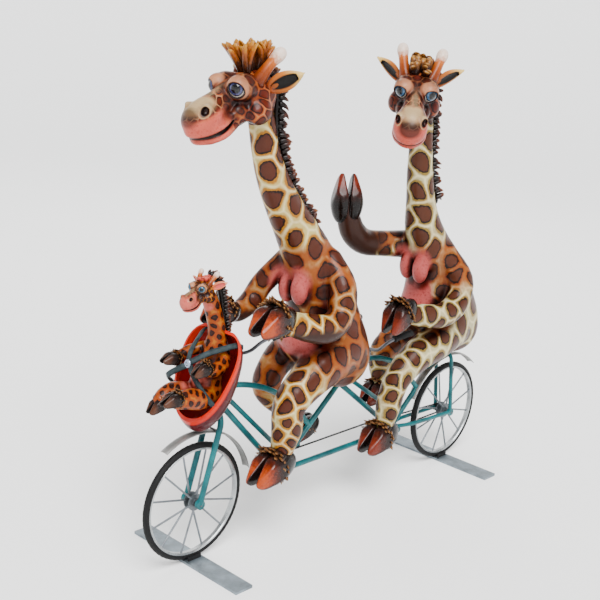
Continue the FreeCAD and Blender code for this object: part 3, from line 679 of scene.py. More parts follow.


# Stations are (x, y, z, half width along Y, half depth) in millimetres. Left is -Y.
# Hooves are (x, y, z, heading, droop, size). pink, warm and dark are (centre, radii) zones;
# # the warm zones on the far limbs and behind the near arm are partly painted shade.
# bare holds the hooves without fur, and forelock is (height, number of locks).
FRONT_RIDER = {
    "name": "front_rider", "size": 1.0, "skull": (62, 0, 522), "tilt": 20, "turn": 0, "roll": 0,
    "body": [
        (228, 0, 184, 22, 22), (230, 0, 198, 37, 37), (222, 0, 214, 41, 41),
        (210, 0, 240, 40, 40), (195, 0, 272, 38, 39), (179, 0, 306, 35, 35),
        (160, 0, 340, 28, 30), (138, 0, 372, 23, 25), (116, 0, 403, 19.5, 21),
        (98, 0, 434, 17, 18), (86, 0, 464, 15, 15.5), (79, 0, 492, 14, 15), (74, 0, 512, 14, 14),
    ],
    "belly": [(180, 0, 228, 38, 32), (180, 0, 270, 32, 27), (158, 0, 234, 26, 20)],
    "lobes": [(139, -12.5, 303), (141, 13, 301)],
    "arms": [
        [(178, -22, 332, 15, 15), (180, -42, 304, 16.5, 17), (170, -51, 274, 15.5, 16),
         (146, -53, 263, 16, 17), (116, -50, 269, 15, 16), (98, -46, 275, 13.5, 14),
         (86, -44, 278, 12, 12)],
        [(152, 22, 328, 14, 15), (131, 39, 299, 13.5, 14), (119, 44, 279, 13.5, 14),
         (96, 40, 270, 12, 12), (80, 37, 271, 10.5, 10.5)],
    ],
    "legs": [
        [(208, -22, 216, 28, 30), (167, -32, 209, 26, 27), (138, -34, 195, 23, 23),
         (116, -34, 178, 20, 20), (110, -33, 162, 18.5, 18.5), (113, -31, 144, 18, 19),
         (110, -30, 127, 15, 15.5), (106, -30, 110, 12.5, 13)],
        [(193, 22, 218, 24, 26), (165, 31, 207, 21, 21), (147, 33, 190, 18.5, 18.5),
         (139, 33, 171, 17.5, 17.5), (149, 31, 154, 15.5, 16), (171, 28, 135, 13.5, 13.5),
         (190, 25, 114, 10.5, 11)],
    ],
    "knees": [(128, -36, 192, 17), (142, 34, 180, 14)],
    "hooves": [(66, -42, 281, 14, 4, 1.18), (58, 34, 275, 14, 0, 1.0),
               (86, -31, 98, 6, 14, 1.18), (192, 25, 102, -6, 26, 0.92)],
    "mane": [(70, 0, 549), (90, 0, 541), (100, 0, 524), (101, 0, 500), (104, 0, 474),
             (114, 0, 446), (131, 0, 416), (151, 0, 391), (168, 0, 372)],
    "tail": [(248, 13, 190, 4, 4), (264, 18, 214, 3.4, 3.4), (268, 18, 244, 3.2, 3.2),
             (264, 15, 266, 3, 3)],
    # warm zones, partly painted shade: behind the near arm, at the near thigh, on the far arm and
    # far leg
    "warm": [((176, -10, 318), (52, 46, 34)), ((200, -30, 240), (60, 40, 60)),
             ((120, 42, 282), (44, 30, 50)), ((168, 31, 196), (60, 22, 40))],
    # these dark zones are painted shade under the near and far forearms
    "dark": [((122, -58, 253), (42, 24, 11)), ((86, 40, 262), (36, 22, 10))],
    "pink": [((142, 0, 232), (22, 30, 11))],
    "forelock": (46.0, 54), "pink_top": 11.0, "nose": 0.75, "bare": (), "droop": 0.45,
    "seed": 4,
}

REAR_RIDER = {
    "name": "rear_rider", "size": 1.0, "skull": (340, 1, 521), "tilt": 33, "turn": 35,
    "roll": -6,
    "body": [
        (456, 0, 183, 22, 20), (459, 0, 196, 36, 34), (453, 0, 212, 39, 40),
        (440, 0, 236, 39, 40), (424, 0, 264, 37, 37), (406, 0, 296, 34, 34),
        (388, 0, 325, 28, 28), (375, 0, 352, 23, 23), (367, 0, 382, 18.5, 19),
        (361, 0, 416, 16.5, 17), (358, 0, 448, 15, 15), (356, 0, 480, 14, 14),
        (354, 0, 508, 13, 13),
    ],
    "belly": [(404, 0, 222, 36, 30), (400, 0, 260, 31, 27), (384, 0, 236, 26, 20)],
    "lobes": [(362, -13, 296), (364, 13, 297)],
    "arms": [
        [(402, -20, 312, 15, 16), (412, -41, 280, 17, 17), (398, -49, 252, 16, 16),
         (364, -52, 241, 15.5, 15.5), (330, -48, 246, 14.5, 14.5), (308, -44, 250, 12, 12)],
        [(388, 20, 318, 17, 19), (350, 42, 319, 16.5, 17), (322, 51, 323, 15.5, 17),
         (300, 52, 338, 15.5, 17), (289, 52, 358, 14.5, 15), (285, 52, 374, 11.5, 12)],
    ],
    "legs": [
        [(428, -20, 203, 26, 27), (386, -30, 195, 23, 24), (352, -32, 187, 21, 21.5),
         (326, -33, 176, 19, 19), (309, -33, 162, 17, 17), (301, -32, 145, 16, 16.5),
         (297, -31, 128, 16, 16), (295, -30, 111, 13.5, 13.5), (292, -30, 97, 12, 12)],
        [(404, 20, 203, 24, 25), (372, 28, 188, 20, 20), (355, 31, 171, 17, 17.5),
         (351, 32, 154, 15, 15.5), (353, 31, 138, 13, 13.5), (352, 30, 126, 11, 11)],
    ],
    "knees": [(338, -34, 186, 16), (354, 33, 176, 14)],
    "hooves": [(287, -41, 249, 10, 30, 1.05), (284, 52, 386, 235, -90, 1.12),
               (278, -30, 86, 8, 14, 1.15), (338, 29, 117, 8, 16, 0.95)],
    "mane": [(352, 3, 556), (370, 6, 546), (377, 5, 526), (375, 3, 500), (374, 0, 472),
             (377, 0, 440), (384, 0, 408), (396, 0, 376)],
    "tail": [(480, 13, 190, 4, 4), (494, 18, 214, 3.4, 3.4), (494, 18, 242, 3.2, 3.2),
             (487, 15, 262, 3, 3)],
    # warm zones, partly painted shade: behind the near arm, on the far arm and far leg
    "warm": [((404, -20, 300), (52, 46, 26)), ((330, 46, 330), (60, 22, 16)),
             ((386, 26, 196), (60, 26, 30))],
    "dark": [((288, 52, 358), (26, 26, 46)), ((312, 52, 322), (26, 24, 18))],
    "pink": [((368, 0, 258), (16, 26, 24))],
    "forelock": (25.0, 40), "pink_top": 14.5, "nose": 0.85, "bare": (1,), "droop": 0.5,
    "seed": 11,
}

CALF = {
    "name": "calf", "size": 0.42, "skull": (5, -1, 318), "tilt": 14, "turn": 14, "roll": 0,
    "body": [(14, 0, 192, 14, 10), (14, 0, 202, 18, 16), (14, 0, 217, 17, 16.5),
             (20, 0, 234, 15, 15), (25, 0, 252, 12.5, 12.5), (26, 0, 268, 10, 10),
             (23, 0, 283, 9, 9.5), (17, 0, 300, 9, 9), (12, 0, 310, 8.5, 8.5)],
    "belly": [(8, 0, 212, 13, 12)],
    "arms": [
        [(28, -10, 249, 7, 7), (19, -19, 237, 7.5, 7.5), (4, -22, 234, 7.5, 7.5),
         (-7, -22, 236, 6, 6)],
        [(20, 10, 250, 6.5, 6.5), (4, 18, 246, 6.5, 6.5), (-12, 20, 241, 5.8, 5.8)],
    ],
    "legs": [
        [(9, -10, 200, 11, 11), (-13, -18, 204, 12, 12), (-29, -20, 208, 11, 11),
         (-44, -20, 209, 8.5, 8.5)],
        [(6, 10, 199, 10, 10), (-18, 13, 205, 11, 11), (-33, 12, 205, 9.5, 9.5),
         (-42, 11, 201, 8, 8)],
    ],
    "hooves": [(-13, -22, 237, 0, 10, 0.5), (-21, 20, 240, 0, -6, 0.5),
               (-51, -20, 211, 0, 0, 0.54), (-47, 10, 195, 0, 20, 0.5)],
    "mane": [(16, 0, 334), (25, 0, 326), (31, 0, 310), (34, 0, 294), (38, 0, 276),
             (40, 0, 260)],
    "pink": [((-2, 0, 216), (14, 13, 20)), ((0, -2, 300), (12, 10, 6))],
    "forelock": (18.0, 34), "pink_top": 22.0, "nose": 0.0, "bare": (), "droop": 0.0,
    "seed": 7,
}

# Head features in the head's own frame: nose +X, left +Y, up +Z, adult millimetres.
EYE_CENTER = np.array([28.0, 15.0, 20.5])
EYE_LOOK = unit(np.array([0.74, 0.60, 0.30]))
LID_TURN = np.array([0.1, 0.0, -0.2])  # how far the opening turns from the eyeball
EYE_R = 10.2
EYE_OPENING = math.radians(52)
NOSTRIL = (73.0, 14.0, 13.5)
HORN = [(0, 15, 17, 8.0, 8.0), (-9, 19, 25, 6.4, 6.4), (-19, 22, 31.5, 5.9, 5.9),
        (-27, 24, 35.5, 7.2, 7.2), (-30, 24.5, 37, 6.8, 6.8)]
EAR_ROOT, EAR_TIP = np.array([-9.0, 23.0, 7.0]), np.array([-29.0, 51.0, 17.0])
LIPS = [(38, 13, -5), (49, 16, -9.5), (62, 19, -12.2), (75, 18, -12.8), (87, 10, -12.6),
        (91, 0, -12.4)]


def mirrored(point):
    return (point[0], -point[1], *point[2:])


# ---- heads ----
def head_field(neck, cell, droop):
    """A head in its own frame with a stub of the neck, so that the jaw blends into it."""
    field = Field((-48, -42, -62), (104, 42, 44), cell)
    field.egg((0, 0, 1), (29, 24, 26), 0)
    field.chain([(4, 0, 8, 15, 17), (30, 0, 11, 12, 15), (50, 0, 7, 13.5, 16.5),
                 (66, 0, 3, 19.5, 19), (74, 0, 1, 20.5, 18.5)], 9)
    field.chain([(20, 0, -14, 12, 8), (44, 0, -16, 14, 7), (62, 0, -18, 16.5, 6.5),
                 (74, 0, -17.5, 14, 6)], 3)
    for row, drop, radius in ((LIPS, 4.6, 4.2), (LIPS, -4.4, 3.9)):
        roll = [(x - 3.5 - (3.0 if drop < 0 else 0), y * 0.84, z + drop, radius, radius)
                for x, y, z in row[1:]]
        field.chain(roll + [mirrored(r) for r in reversed(roll[:-1])], 5)
    for side in (1, -1):
        def at(x, y, z):
            return (x, side * y, z)
        field.egg(at(20, 14, 18), (16, 13, 14), 7)
        field.egg(at(12, 21, -12), (15, 11, 13), 8)
        field.egg(at(33, 15, -5), (9, 6, 9), 6)
        field.egg(at(*NOSTRIL), (7, 5.6, 6.5), 3)
        eye = np.array(at(*EYE_CENTER))
        look = np.array(at(*EYE_LOOK))
        field.egg(eye + look * 6.5, (11.4, 11.4, 11.4), 2.0, carve=True)
        add_lids(field, eye, look, droop)
        field.egg(eye, (EYE_R + 0.2,) * 3, 0.4, carve=True)
        field.egg(at(NOSTRIL[0] + 4, NOSTRIL[1] + 2.2, NOSTRIL[2] + 1.2), (5.0, 3.4, 4.2), 1.2,
                  carve=True)
    mouth = [row + (1.7, 1.7) for row in LIPS]
    field.chain(mouth + [mirrored(row) for row in reversed(mouth[:-1])], 0.8, carve=True)
    field.chain(neck, 9, grow=-0.3)
    return field


def lid_drop(x, y, z, droop):
    """How far the upper lid hangs at a point off the eyeball's centre: most on the outer side."""
    return droop * np.maximum(0.8 * z + 0.7 * (0.78 * y - 0.62 * x) - 1.0, 0)


def add_lids(field, eye, look, droop):
    """A lid all round the eyeball: a thick shell with a round opening that droops a little."""
    gaze = unit(look + LID_TURN)
    reach = EYE_R + 6
    slices, (x, y, z) = field.part(eye - reach, eye + reach)
    off = [x - eye[0], y - eye[1], z - eye[2]]
    radius = np.sqrt(off[0] ** 2 + off[1] ** 2 + off[2] ** 2)
    ahead = sum(o * float(g) for o, g in zip(off, gaze))
    beside = np.sqrt(np.maximum(radius ** 2 - ahead ** 2, 0))
    opening = ahead * math.sin(EYE_OPENING) - beside * math.cos(EYE_OPENING)
    side = 1 if look[1] > 0 else -1
    upper = lid_drop(off[0], side * off[1], off[2], droop)
    field.join(slices, np.maximum(radius - EYE_R - 2.0 - 0.1 * upper, opening - upper), 1.6)


def muzzle_zones(p, pink_top, droop, nose):
    """The attributes of a head's surface, from its own coordinates."""
    x, y, z = p.T
    low = pink_top - 0.06 * (x - 60)
    left = folded(p)
    muzzle = clamp((x - 44) / 14)
    pink = muzzle * clamp((low - z) / 5)
    pale = falloff(left, (74, 8, 20), (12, 12, 10), 0.6) * clamp((z - low) / 6)
    bridge = clamp((z - 16) / 6) * clamp((x - 26) / 10) * clamp(
        (7 - np.abs(y)) / 4)
    eye = EYE_CENTER * np.where(y[:, None] > 0, 1, np.array([1, -1, 1]))
    ring = lengths(p - eye) - EYE_R
    lid = clamp((3.2 - ring) / 1.2)
    off = left - EYE_CENTER
    ahead = off @ unit(EYE_LOOK + LID_TURN)
    beside = np.sqrt(np.maximum((off ** 2).sum(axis=1) - ahead ** 2, 0))
    margin = (ahead * math.sin(EYE_OPENING) - beside * math.cos(EYE_OPENING)
              - lid_drop(*off.T, droop))
    liner = clamp((margin + 1.5) / 0.7) * (ring < 4)
    pale = np.maximum(pale, 0.85 * clamp((x - 60) / 8) * clamp((z - low) / 5))
    smoky = clamp(1 - np.abs(ring - 6) / 4.5) * 0.8
    smoky = np.maximum(smoky, 0.6 * falloff(left, (42, 14, 4), (13, 9, 9), 0.7))
    nose = falloff(p, (92, 0, 11), (11, 12, 8), 0.6) * nose
    lip_line = np.full(len(p), 1e9)
    for row in smooth_stations(LIPS + [mirrored(r) for r in LIPS[-2::-1]], 8):
        lip_line = np.minimum(lip_line, lengths(p - row))
    mouth = clamp((2.9 - lip_line) / 1.0)
    hole = np.full(len(p), 1e9)
    for side in (1, -1):
        center = np.array([NOSTRIL[0] + 5, side * (NOSTRIL[1] + 2), NOSTRIL[2] + 1.5])
        hole = np.minimum(hole, lengths((p - center) / [1.35, 0.8, 1.1]))
    nostril = clamp((4.9 - hole) / 0.8)
    rim = clamp(1 - np.abs(hole - 6.1) / 1.2)
    # painted shade under the back of the jaw
    jaw = clamp((-14 - z) / 8) * clamp((44 - x) / 16) * 0.7
    dark = clamp(smoky * (1 - lid) + nose + mouth + nostril + jaw + liner)
    dark *= 1 - 0.9 * rim
    return {"pink": clamp(np.maximum(pink * (1 - rim), lid * 0.35)),
            "pale": clamp(np.maximum.reduce([pale, lid * 0.8, rim, bridge * 0.35])),
            "dark": clamp(dark), "bridge": bridge}


def cavity_of(field, points, normals, reach):
    """How shut in each point is, from 0 in the open to 1 in a fold; the coats paint shade by it.
    """
    room = field.sample(points + normals * reach)
    return np.clip(1 - room / reach, 0, 1.2) * 0.75


def make_head(rider, material, replaced, cell):
    place = head_place(rider)
    neck = [(*place.back(row[:3]), row[3] / place.size, row[4] / place.size)
            for row in rider["body"][-4:]]
    neck[0] = (*neck[0][:3], neck[0][3] - 1.5, neck[0][4] - 1.5)
    field = head_field(neck, cell, rider["droop"])
    points, quads = field.surface()
    normals = normals_of(points, quads)
    zones = muzzle_zones(points, rider["pink_top"], rider["droop"], rider["nose"])
    spacing = np.where(points[:, 0] > 24, 7.5, 11.0) * (1.0 - 0.3 * zones.pop("bridge"))
    spot, ridge = patch_depth(points, spacing, rider["seed"], gap=0.09, reach=0.56)
    spot *= 1.6
    zones["spot"] = np.minimum(spot, 6 - 14 * np.maximum(zones["pink"], zones["pale"]))
    zones["ridge"] = ridge * 0.45 * (1 - np.maximum(zones["pink"], zones["pale"])) ** 2
    zones["warm"] = falloff(points, (4, 0, -2), (44, 34, 30))
    # painted shade masks: how shut in each point is, close by and farther out
    zones["cavity"] = cavity_of(field, points, normals, 5.0)
    zones["shade"] = cavity_of(field, points, normals, 9.0)
    make_object(rider["name"] + "_head_skin", place.out(points), quads, material,
                replaced=(replaced[0],), attributes=zones)
    return place


def make_eyes(rider, place, material):
    """Two glossy eyeballs. The attribute gaze runs from 0 at the pupil to 1 at the back."""
    points, faces, gaze = [], [], []
    rings, sides = 22, 28
    for side in (1, -1):
        mirror = np.array([1, side, 1])
        aim = unit(EYE_LOOK * mirror + np.array([0.12, 0, -0.02]))
        across = unit(np.cross(aim, [0, 0, 1]))
        up = np.cross(across, aim)
        faces += ring_faces(rings + 1, sides, len(points), flipped=True)
        for ring in range(rings + 1):
            angle = math.pi * ring / rings
            bulge = 1 + 0.05 * math.exp(-(angle / 0.4) ** 2)
            for x, y in circle(sides):
                out = across * x + up * y
                points.append(EYE_CENTER * mirror + EYE_R * bulge * (
                    aim * math.cos(angle) + out * math.sin(angle)))
                gaze.append(ring / rings)
    make_object(rider["name"] + "_eyes", place.out(points), faces, material,
                attributes={"gaze": gaze})


def make_horns_and_ears(rider, place, horn, ear, replaced):
    """Two knobbed horns and two leaf ears with a dark hollow."""
    field = Field((-46, -64, -6), (16, 64, 52), 0.9)
    for side in (1, -1):
        field.chain([(r[0], side * r[1], *r[2:]) for r in HORN], 0)
    points, quads = field.surface()
    along = 1 - lengths(folded(points) - np.array(HORN[-1][:3])) / 42
    make_object(rider["name"] + "_horns", place.out(points), quads, horn,
                replaced=(replaced,), attributes={"along": along})

    run = EAR_TIP - EAR_ROOT
    length = np.linalg.norm(run)

    def ear_axes(mirror):
        """Along one ear, across it, and out of its hollow."""
        axis = run * mirror / length
        face = square_to(np.array([0.85, mirror[1] * 0.35, -0.1]), axis)
        return axis, np.cross(axis, face), face

    field = Field((-46, -68, -12), (10, 68, 36), 0.7)
    mirrors = [np.array([1, side, 1]) for side in (1, -1)]
    for mirror in mirrors:
        root, way = EAR_ROOT * mirror, run * mirror
        axes = ear_axes(mirror)
        face, turn = axes[2], np.stack(axes, axis=1)
        for k in range(15):
            t = k / 14
            half = 10.5 * math.sin(math.pi * min(1, 0.16 + 0.84 * t)) ** 0.75 + 0.8
            center = root + way * t - face * 2.0 * math.sin(math.pi * t)
            field.egg(center, (4.5, half, 2.6), 1.2, turn=turn)
        for k in range(12):
            t = 0.1 + 0.66 * k / 11
            half = 6.4 * math.sin(math.pi * (0.1 + 0.85 * t)) ** 0.8
            field.egg(root + way * t + face * 1.6, (4.2, half, 3.4), 1.0, turn=turn, carve=True)
    points, quads = field.surface()
    hollow = np.zeros(len(points))
    for mirror in mirrors:
        axis, wide, face = ear_axes(mirror)
        local = points - EAR_ROOT * mirror
        share = local @ axis / length
        depth = local @ face + 2.0 * np.sin(np.pi * clamp(share))
        half = 7.4 * np.sin(np.pi * clamp(0.1 + 0.85 * share)) ** 0.8
        inside = (half - np.abs(local @ wide)) / 1.5
        value = clamp(inside) * (depth > -0.6) * (share > 0.02) * (share < 0.88)
        hollow = np.where(points[:, 1] * mirror[1] > 0, value, hollow)
    along = (folded(points) - EAR_ROOT) @ run / length ** 2
    make_object(rider["name"] + "_ears", place.out(points), quads, ear,
                attributes={"hollow": hollow, "along": along})


# ---- bodies ----
def make_body(rider, material, replaced, cell, spacings, soft):
    """Torso, neck, arms and legs as one skin."""
    limbs = rider["arms"] + rider["legs"]
    rows = np.array([row for chain in [rider["body"], *limbs] for row in chain])
    pad = rows[:, 3:].max() + 4
    low = rows[:, :3].min(0) - np.array([26, 26, 24]) * min(1, pad / 30)
    high = rows[:, :3].max(0) + pad
    high[2] = rows[:, 2].max() + 18
    field = Field(low - 4, high, cell)
    field.chain(rider["body"], 0)
    for x, y, z, wide, deep in rider["belly"]:
        field.egg((x, y, z), (deep, wide, deep), 1.6 * soft)
    for chain in rider["legs"]:
        field.chain(chain, 0.75 * soft)
    for chain in rider["arms"]:
        field.chain(chain, 0.4 * soft)
    for x, y, z, r in rider.get("knees", []):
        field.egg((x, y, z), (r, r * 0.95, r), 6)
    for x, y, z in rider.get("lobes", []):
        field.egg((x + 2, y * 0.88, z - 3), (10, 10.8, 18), 1.0)
        field.egg((x + 15, y * 0.95, z + 16), (15, 12, 18), 9)
    if "tail" in rider:
        field.chain(rider["tail"], 3)
    points, quads = field.surface()
    normals = normals_of(points, quads)
    neck_from = rider["body"][6 if rider["size"] == 1 else 4][2]
    label, along = nearest_chain(points, [rider["body"], *limbs])
    spacing = np.full(len(points), spacings["body"])
    spacing = np.where((label == 0) & (points[:, 2] > neck_from), spacings["neck"], spacing)
    for index in (1, 2):
        spacing = np.where(label == index, spacings["arm"], spacing)
    for index in (3, 4):
        shin = spacings["thigh"] + (spacings["shin"] - spacings["thigh"]) * clamp(
            (along - 0.3) / 0.3)
        spacing = np.where(label == index, shin, spacing)
    spot, ridge = patch_depth(points, spacing, rider["seed"], spacings["gap"],
                              spacings["reach"], stretch=(1.08, 1.08, 0.92))
    lobes = [((x - 3, y, z - 2), (12, 13, 19)) for x, y, z in rider.get("lobes", [])]
    zones = {"spot": spot, "ridge": ridge * spacings["light"],
             "pink": np.maximum(tinted(points, lobes, 0.6), tinted(points, rider["pink"], 0.35)),
             "warm": tinted(points, rider.get("warm", []), 0.6),
             "dark": tinted(points, rider.get("dark", []), 0.6),
             "pale": np.zeros(len(points))}
    # painted shade masks: how shut in each point is, close by and farther out
    zones["cavity"] = cavity_of(field, points, normals, 8.0 * cell / 1.5)
    zones["shade"] = cavity_of(field, points, normals, 13.0 * cell / 1.5)
    make_object(rider["name"] + "_skin", points, quads, material, replaced=replaced,
                attributes=zones)


def add_toe(field, side):
    """One pointed half of a cloven hoof: a long egg cut by flat faces."""
    slices, (x, y, z) = field.part((-34, -26, -20), (32, 26, 20))
    y = side * y
    egg = 14 * (np.sqrt(((x - 3) / 29) ** 2 + ((y - 6) / 13) ** 2 + (z / 15) ** 2) - 1)
    faces = [0.7 + 0.16 * np.maximum(-x, 0) - y, -9.5 - z, 0.84 * z - 0.48 * x - 13,
             0.94 * y - 0.26 * x - 15.5, 0.5 * y + 0.6 * z - 0.56 * x - 17.5]
    toe = egg
    for face in faces:
        overlap = np.maximum(1.6 - np.abs(toe - face), 0)
        toe = np.maximum(toe, face) + overlap ** 2 / 6.4
    field.join(slices, toe, 0.4)


def make_hooves(rider, material, fur, replaced):
    """Four cloven hooves, each with a cuff of fur tufts where the limb meets it."""
    parts, tufts = [], []
    rng = np.random.default_rng(rider["seed"] + 50)
    rows, tufts_in_row = 2, 26
    ends = [chain[-1] for chain in rider["arms"] + rider["legs"]]
    for number, (hoof, end) in enumerate(zip(rider["hooves"], ends)):
        place = hoof_place(hoof)
        field = Field((-32, -24, -18), (30, 24, 18), 0.9)
        for side in (1, -1):
            add_toe(field, side)
        points, quads = field.surface(1)
        # the chestnut ramp runs from heel to tip; its lighter tip is a painted highlight, it is
        # painted shade in the cleft between the toes, and it is darker towards the sole
        tip = clamp((7 - points[:, 0]) / 22)
        edge = np.clip((points[:, 2] + 9.5) / 4, 0.35, 1)
        cleft = clamp((np.abs(points[:, 1]) - 0.2 * np.abs(points[:, 0])) / 1.6)
        parts.append((place.out(points), quads.tolist(), tip * edge * cleft))
        center = place.out([(10, 0, 2)])[0]
        wrist = np.array(end[:3], float)
        into = unit(place.out([(0, 0, 0)])[0] - wrist)
        toe = place.turn @ np.array([-1.0, 0, 0])
        axis = unit(into * 0.4 + toe * 0.6)
        first = unit(np.cross(axis, [0.2, 1, 0.1]))
        second = np.cross(axis, first)
        radius = 16.0 * hoof[5]
        for row in range(0 if number in rider["bare"] else rows):
            for k in range(tufts_in_row):
                angle = 2 * math.pi * (k + 0.5 * row) / tufts_in_row + rng.uniform(-0.08, 0.08)
                out = first * math.cos(angle) + second * math.sin(angle)
                base = center + out * (radius - 1.6 * row) * 0.9 - axis * (6 - 3 * row)
                heading = axis + out * rng.uniform(0.15, 0.4)
                tufts.append(lock(base, heading, out, hoof[5] * rng.uniform(9, 14),
                                  3.4 * hoof[5], rng.uniform(0.1, 0.6)))
    points, faces, shine_and_shade = gather(parts)
    make_object(rider["name"] + "_hoof_shells", points, faces, material,
                replaced=(replaced[0],), attributes={"along": shine_and_shade})
    points, faces, along = gather(tufts)
    make_object(rider["name"] + "_fetlock_fur", points, faces, fur, attributes={"along": along})


def make_mane(rider, material, forelock_material, replaced, size):
    """Scalloped locks down the back of the neck, and a swept forelock on the crown."""
    rng = np.random.default_rng(rider["seed"] + 20)
    place = head_place(rider)
    path = smooth_stations([(*p, 0, 0) for p in rider["mane"]], 14)[:, :3]
    steps = lengths(np.diff(path, axis=0))
    run = np.concatenate([[0], np.cumsum(steps)])
    pitch = 6.6 * size
    parts = []
    field = Field(path.min(0) - 14, path.max(0) + 14, 1.3 * max(size, 0.6))
    ridge = [(*(p - np.array([0.5, 0, 1.0]) * size), 6.5 * size, 6.5 * size)
             for p in path[::6]]
    field.chain(ridge, 0)
    ridge_points, ridge_quads = field.surface()
    parts.append((ridge_points, ridge_quads.tolist(), np.full(len(ridge_points), 0.1)))
    for k in range(int(run[-1] / pitch)):
        spot = k * pitch
        index = int(np.searchsorted(run, spot))
        index = min(max(index, 1), len(path) - 2)
        along = unit(path[index + 1] - path[index - 1])
        back = np.cross([0, 1, 0], along)
        back = back if back[0] > 0 or back[2] > 0.5 else -back
        for side in (-1.5, -0.5, 0.5, 1.5):
            out = unit(back + np.array([0, side * 0.42, 0]))
            base = path[index] + np.array([0, side * 3.4, 0]) * size - back * 3 * size
            heading = out - along * rng.uniform(-0.25, 0.45)
            length = size * rng.uniform(13, 19) * (1 - 0.08 * abs(side))
            parts.append(lock(base, heading, -along, length, size * rng.uniform(4.4, 6.0),
                              rng.uniform(-0.6, 0.2), rings=8, blunt=0.55, flat=0.8))
    points, faces, along = gather(parts)
    make_object(rider["name"] + "_mane_locks", points, faces, material,
                replaced=(replaced,), attributes={"along": along})
    parts = []
    height, count = rider["forelock"]
    for k in range(count):
        t = k / (count - 1)
        x = 4 - 28 * t + rng.uniform(-2, 2)
        y = rng.uniform(-9, 9) * (1 - 0.3 * t)
        base = np.array([x, y, 21 + 3 * math.cos((x + 4) / 12)])
        lean = rng.uniform(-0.15, 0.15) - 0.8 * t
        heading = np.array([lean + 0.02, y * 0.035, 1.0])
        length = height * (1 - 0.26 * t) * rng.uniform(0.74, 1.05)
        parts.append(lock(base, heading, np.array([1.0, 0, 0.2]), length,
                          rng.uniform(4.6, 6.4), rng.uniform(-0.45, 0.5), rings=10,
                          blunt=0.4))
    points, faces, along = gather(parts)
    make_object(rider["name"] + "_forelock", place.out(points), faces, forelock_material,
                attributes={"along": along})


# ---- harness ----
def band(route, width, thickness, facing):
    """A flat webbing strap along a route, its face turned towards a point."""
    profile = ((-1, -0.5), (-0.8, 0.35), (0, 0.5), (0.8, 0.35), (1, -0.5), (0, -0.6))
    fine = smooth_stations([(*p, 0, 0) for p in route], 7)[:, :3]
    last = len(fine) - 1
    points, along = [], []
    for k, spot in enumerate(fine):
        ahead = unit(fine[min(k + 1, last)] - fine[max(k - 1, 0)])
        face = square_to(spot - np.array(facing), ahead)
        side = np.cross(ahead, face)
        for a, b in profile:
            points.append(spot + side * a * width / 2 + face * (b * thickness))
            along.append(k / last)
    return points, ring_faces(len(fine), len(profile), caps=True), along


def make_harness(material, buckle_material):
    low, high = (np.array(corner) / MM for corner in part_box("harness_buckle"))
    buckle = (low + high) / 2 + [-1.5, 0, 0]
    middle = (26, 0, 236)
    routes = [
        [(37, -31, 256), (30, -29, 259), (20, -22, 256), (4, -13, 251), buckle + [1, -2, 2]],
        [(40, 25, 264), (28, 22, 266), (12, 13, 262), (-4, 6, 253), buckle + [1, 2, 2]],
        [(0, -32, 194), (-8, -29, 204), (-14, -20, 218), (-15, -9, 230), buckle + [1, -2, -2]],
        [(-8, 30, 208), (-20, 26, 218), (-26, 16, 226), (-20, 6, 234), buckle + [1, 2, -2]],
    ]
    points, faces, along = gather([band(route, 7.0, 2.2, middle) for route in routes])
    make_object("harness_webbing", points, faces, material,
                replaced=("harness_straps",), attributes={"along": along})
    field = Field(buckle - 9, buckle + 9, 0.35)
    for y, z in circle(24):
        field.egg(buckle + 3.9 * np.array([0, y, z]), (1.3, 1.1, 1.1), 0.5)
    field.egg(buckle, (1.7, 3.6, 3.6), 0.4)
    field.egg(buckle - [1.6, 0, 0], (0.9, 1.5, 1.5), 0.5)
    points, quads = field.surface(1)
    make_object("harness_clasp", points, quads, buckle_material,
                replaced=("harness_buckle",))


# ---- the bicycle's own surfaces ----
def seat_paint():
    """Crimson shell with a bright rim band, split by how far a point lies below the rim plane."""
    rim_low, rim_high, middle = (-0.014, 0.176), (0.028, 0.266), (0.012, 0.0, 0.225)
    m = Material("seat_red", 0.36, coat=0.08, specular=0.15)
    split = m.node("SeparateXYZ", Vector=m.place())
    run = math.hypot(rim_high[0] - rim_low[0], rim_high[1] - rim_low[1])
    ax, az = (rim_high[0] - rim_low[0]) / run, (rim_high[1] - rim_low[1]) / run
    across = m.math("SUBTRACT", m.math("MULTIPLY", split.outputs["X"], az),
                    m.math("MULTIPLY", split.outputs["Z"], ax))
    depth = m.math("SUBTRACT", across, rim_low[0] * az - rim_low[1] * ax)
    outward = m.vector("DOT_PRODUCT", m.vector("SUBTRACT", m.place(), middle)["Vector"],
                       m.new("TexCoord").outputs["Normal"])["Value"]
    wavy = m.math("ADD", depth, m.math("MULTIPLY", m.noise(60.0), 0.0015))
    band_share = m.math("MULTIPLY", m.remap(wavy, 0.0035, 0.0055),
                        m.remap(outward, -0.004, 0.004))
    blotch = m.remap(m.noise(26.0, 4.0), 0.35, 0.65)
    bright = m.mix(blotch, (190, 34, 4), (170, 22, 4))
    shell = m.mix(blotch, (78, 5, 9), (54, 4, 12))
    inner = m.mix(blotch, (140, 12, 6), (112, 8, 6))
    base = m.mix(m.remap(depth, 0.004, 0.007), bright, inner)
    m.color(m.mix(band_share, base, shell))
    m.rough(m.remap(m.noise(140.0), 0.3, 0.7, 0.22, 0.42))
    return m.bump(m.noise(300.0, 3.0), 0.1, 0.0004).material


def eye_paint(iris_light, iris_dark):
    m = Material("eye_" + str(iris_light[0]), 0.05, coat=0.2, specular=0.3)
    gaze = m.attribute("gaze")
    streak = m.remap(m.noise(900.0, 2.0), 0.3, 0.7, -0.012, 0.012)
    m.color(m.ramp(m.math("ADD", gaze, streak), [
        (0.0, (2, 2, 3)), (0.13, (3, 3, 4)), (0.145, iris_dark), (0.2, iris_light),
        (0.25, iris_dark), (0.27, (6, 6, 10)), (0.29, (168, 160, 150)),
        (0.42, (120, 96, 90))]))
    return m.bump(m.noise(40.0), 0.02, 0.0002).material


def paint_cad(material, *names):
    for piece in bpy.data.objects:
        if piece.name in names:
            for slot in piece.material_slots:
                slot.material = material


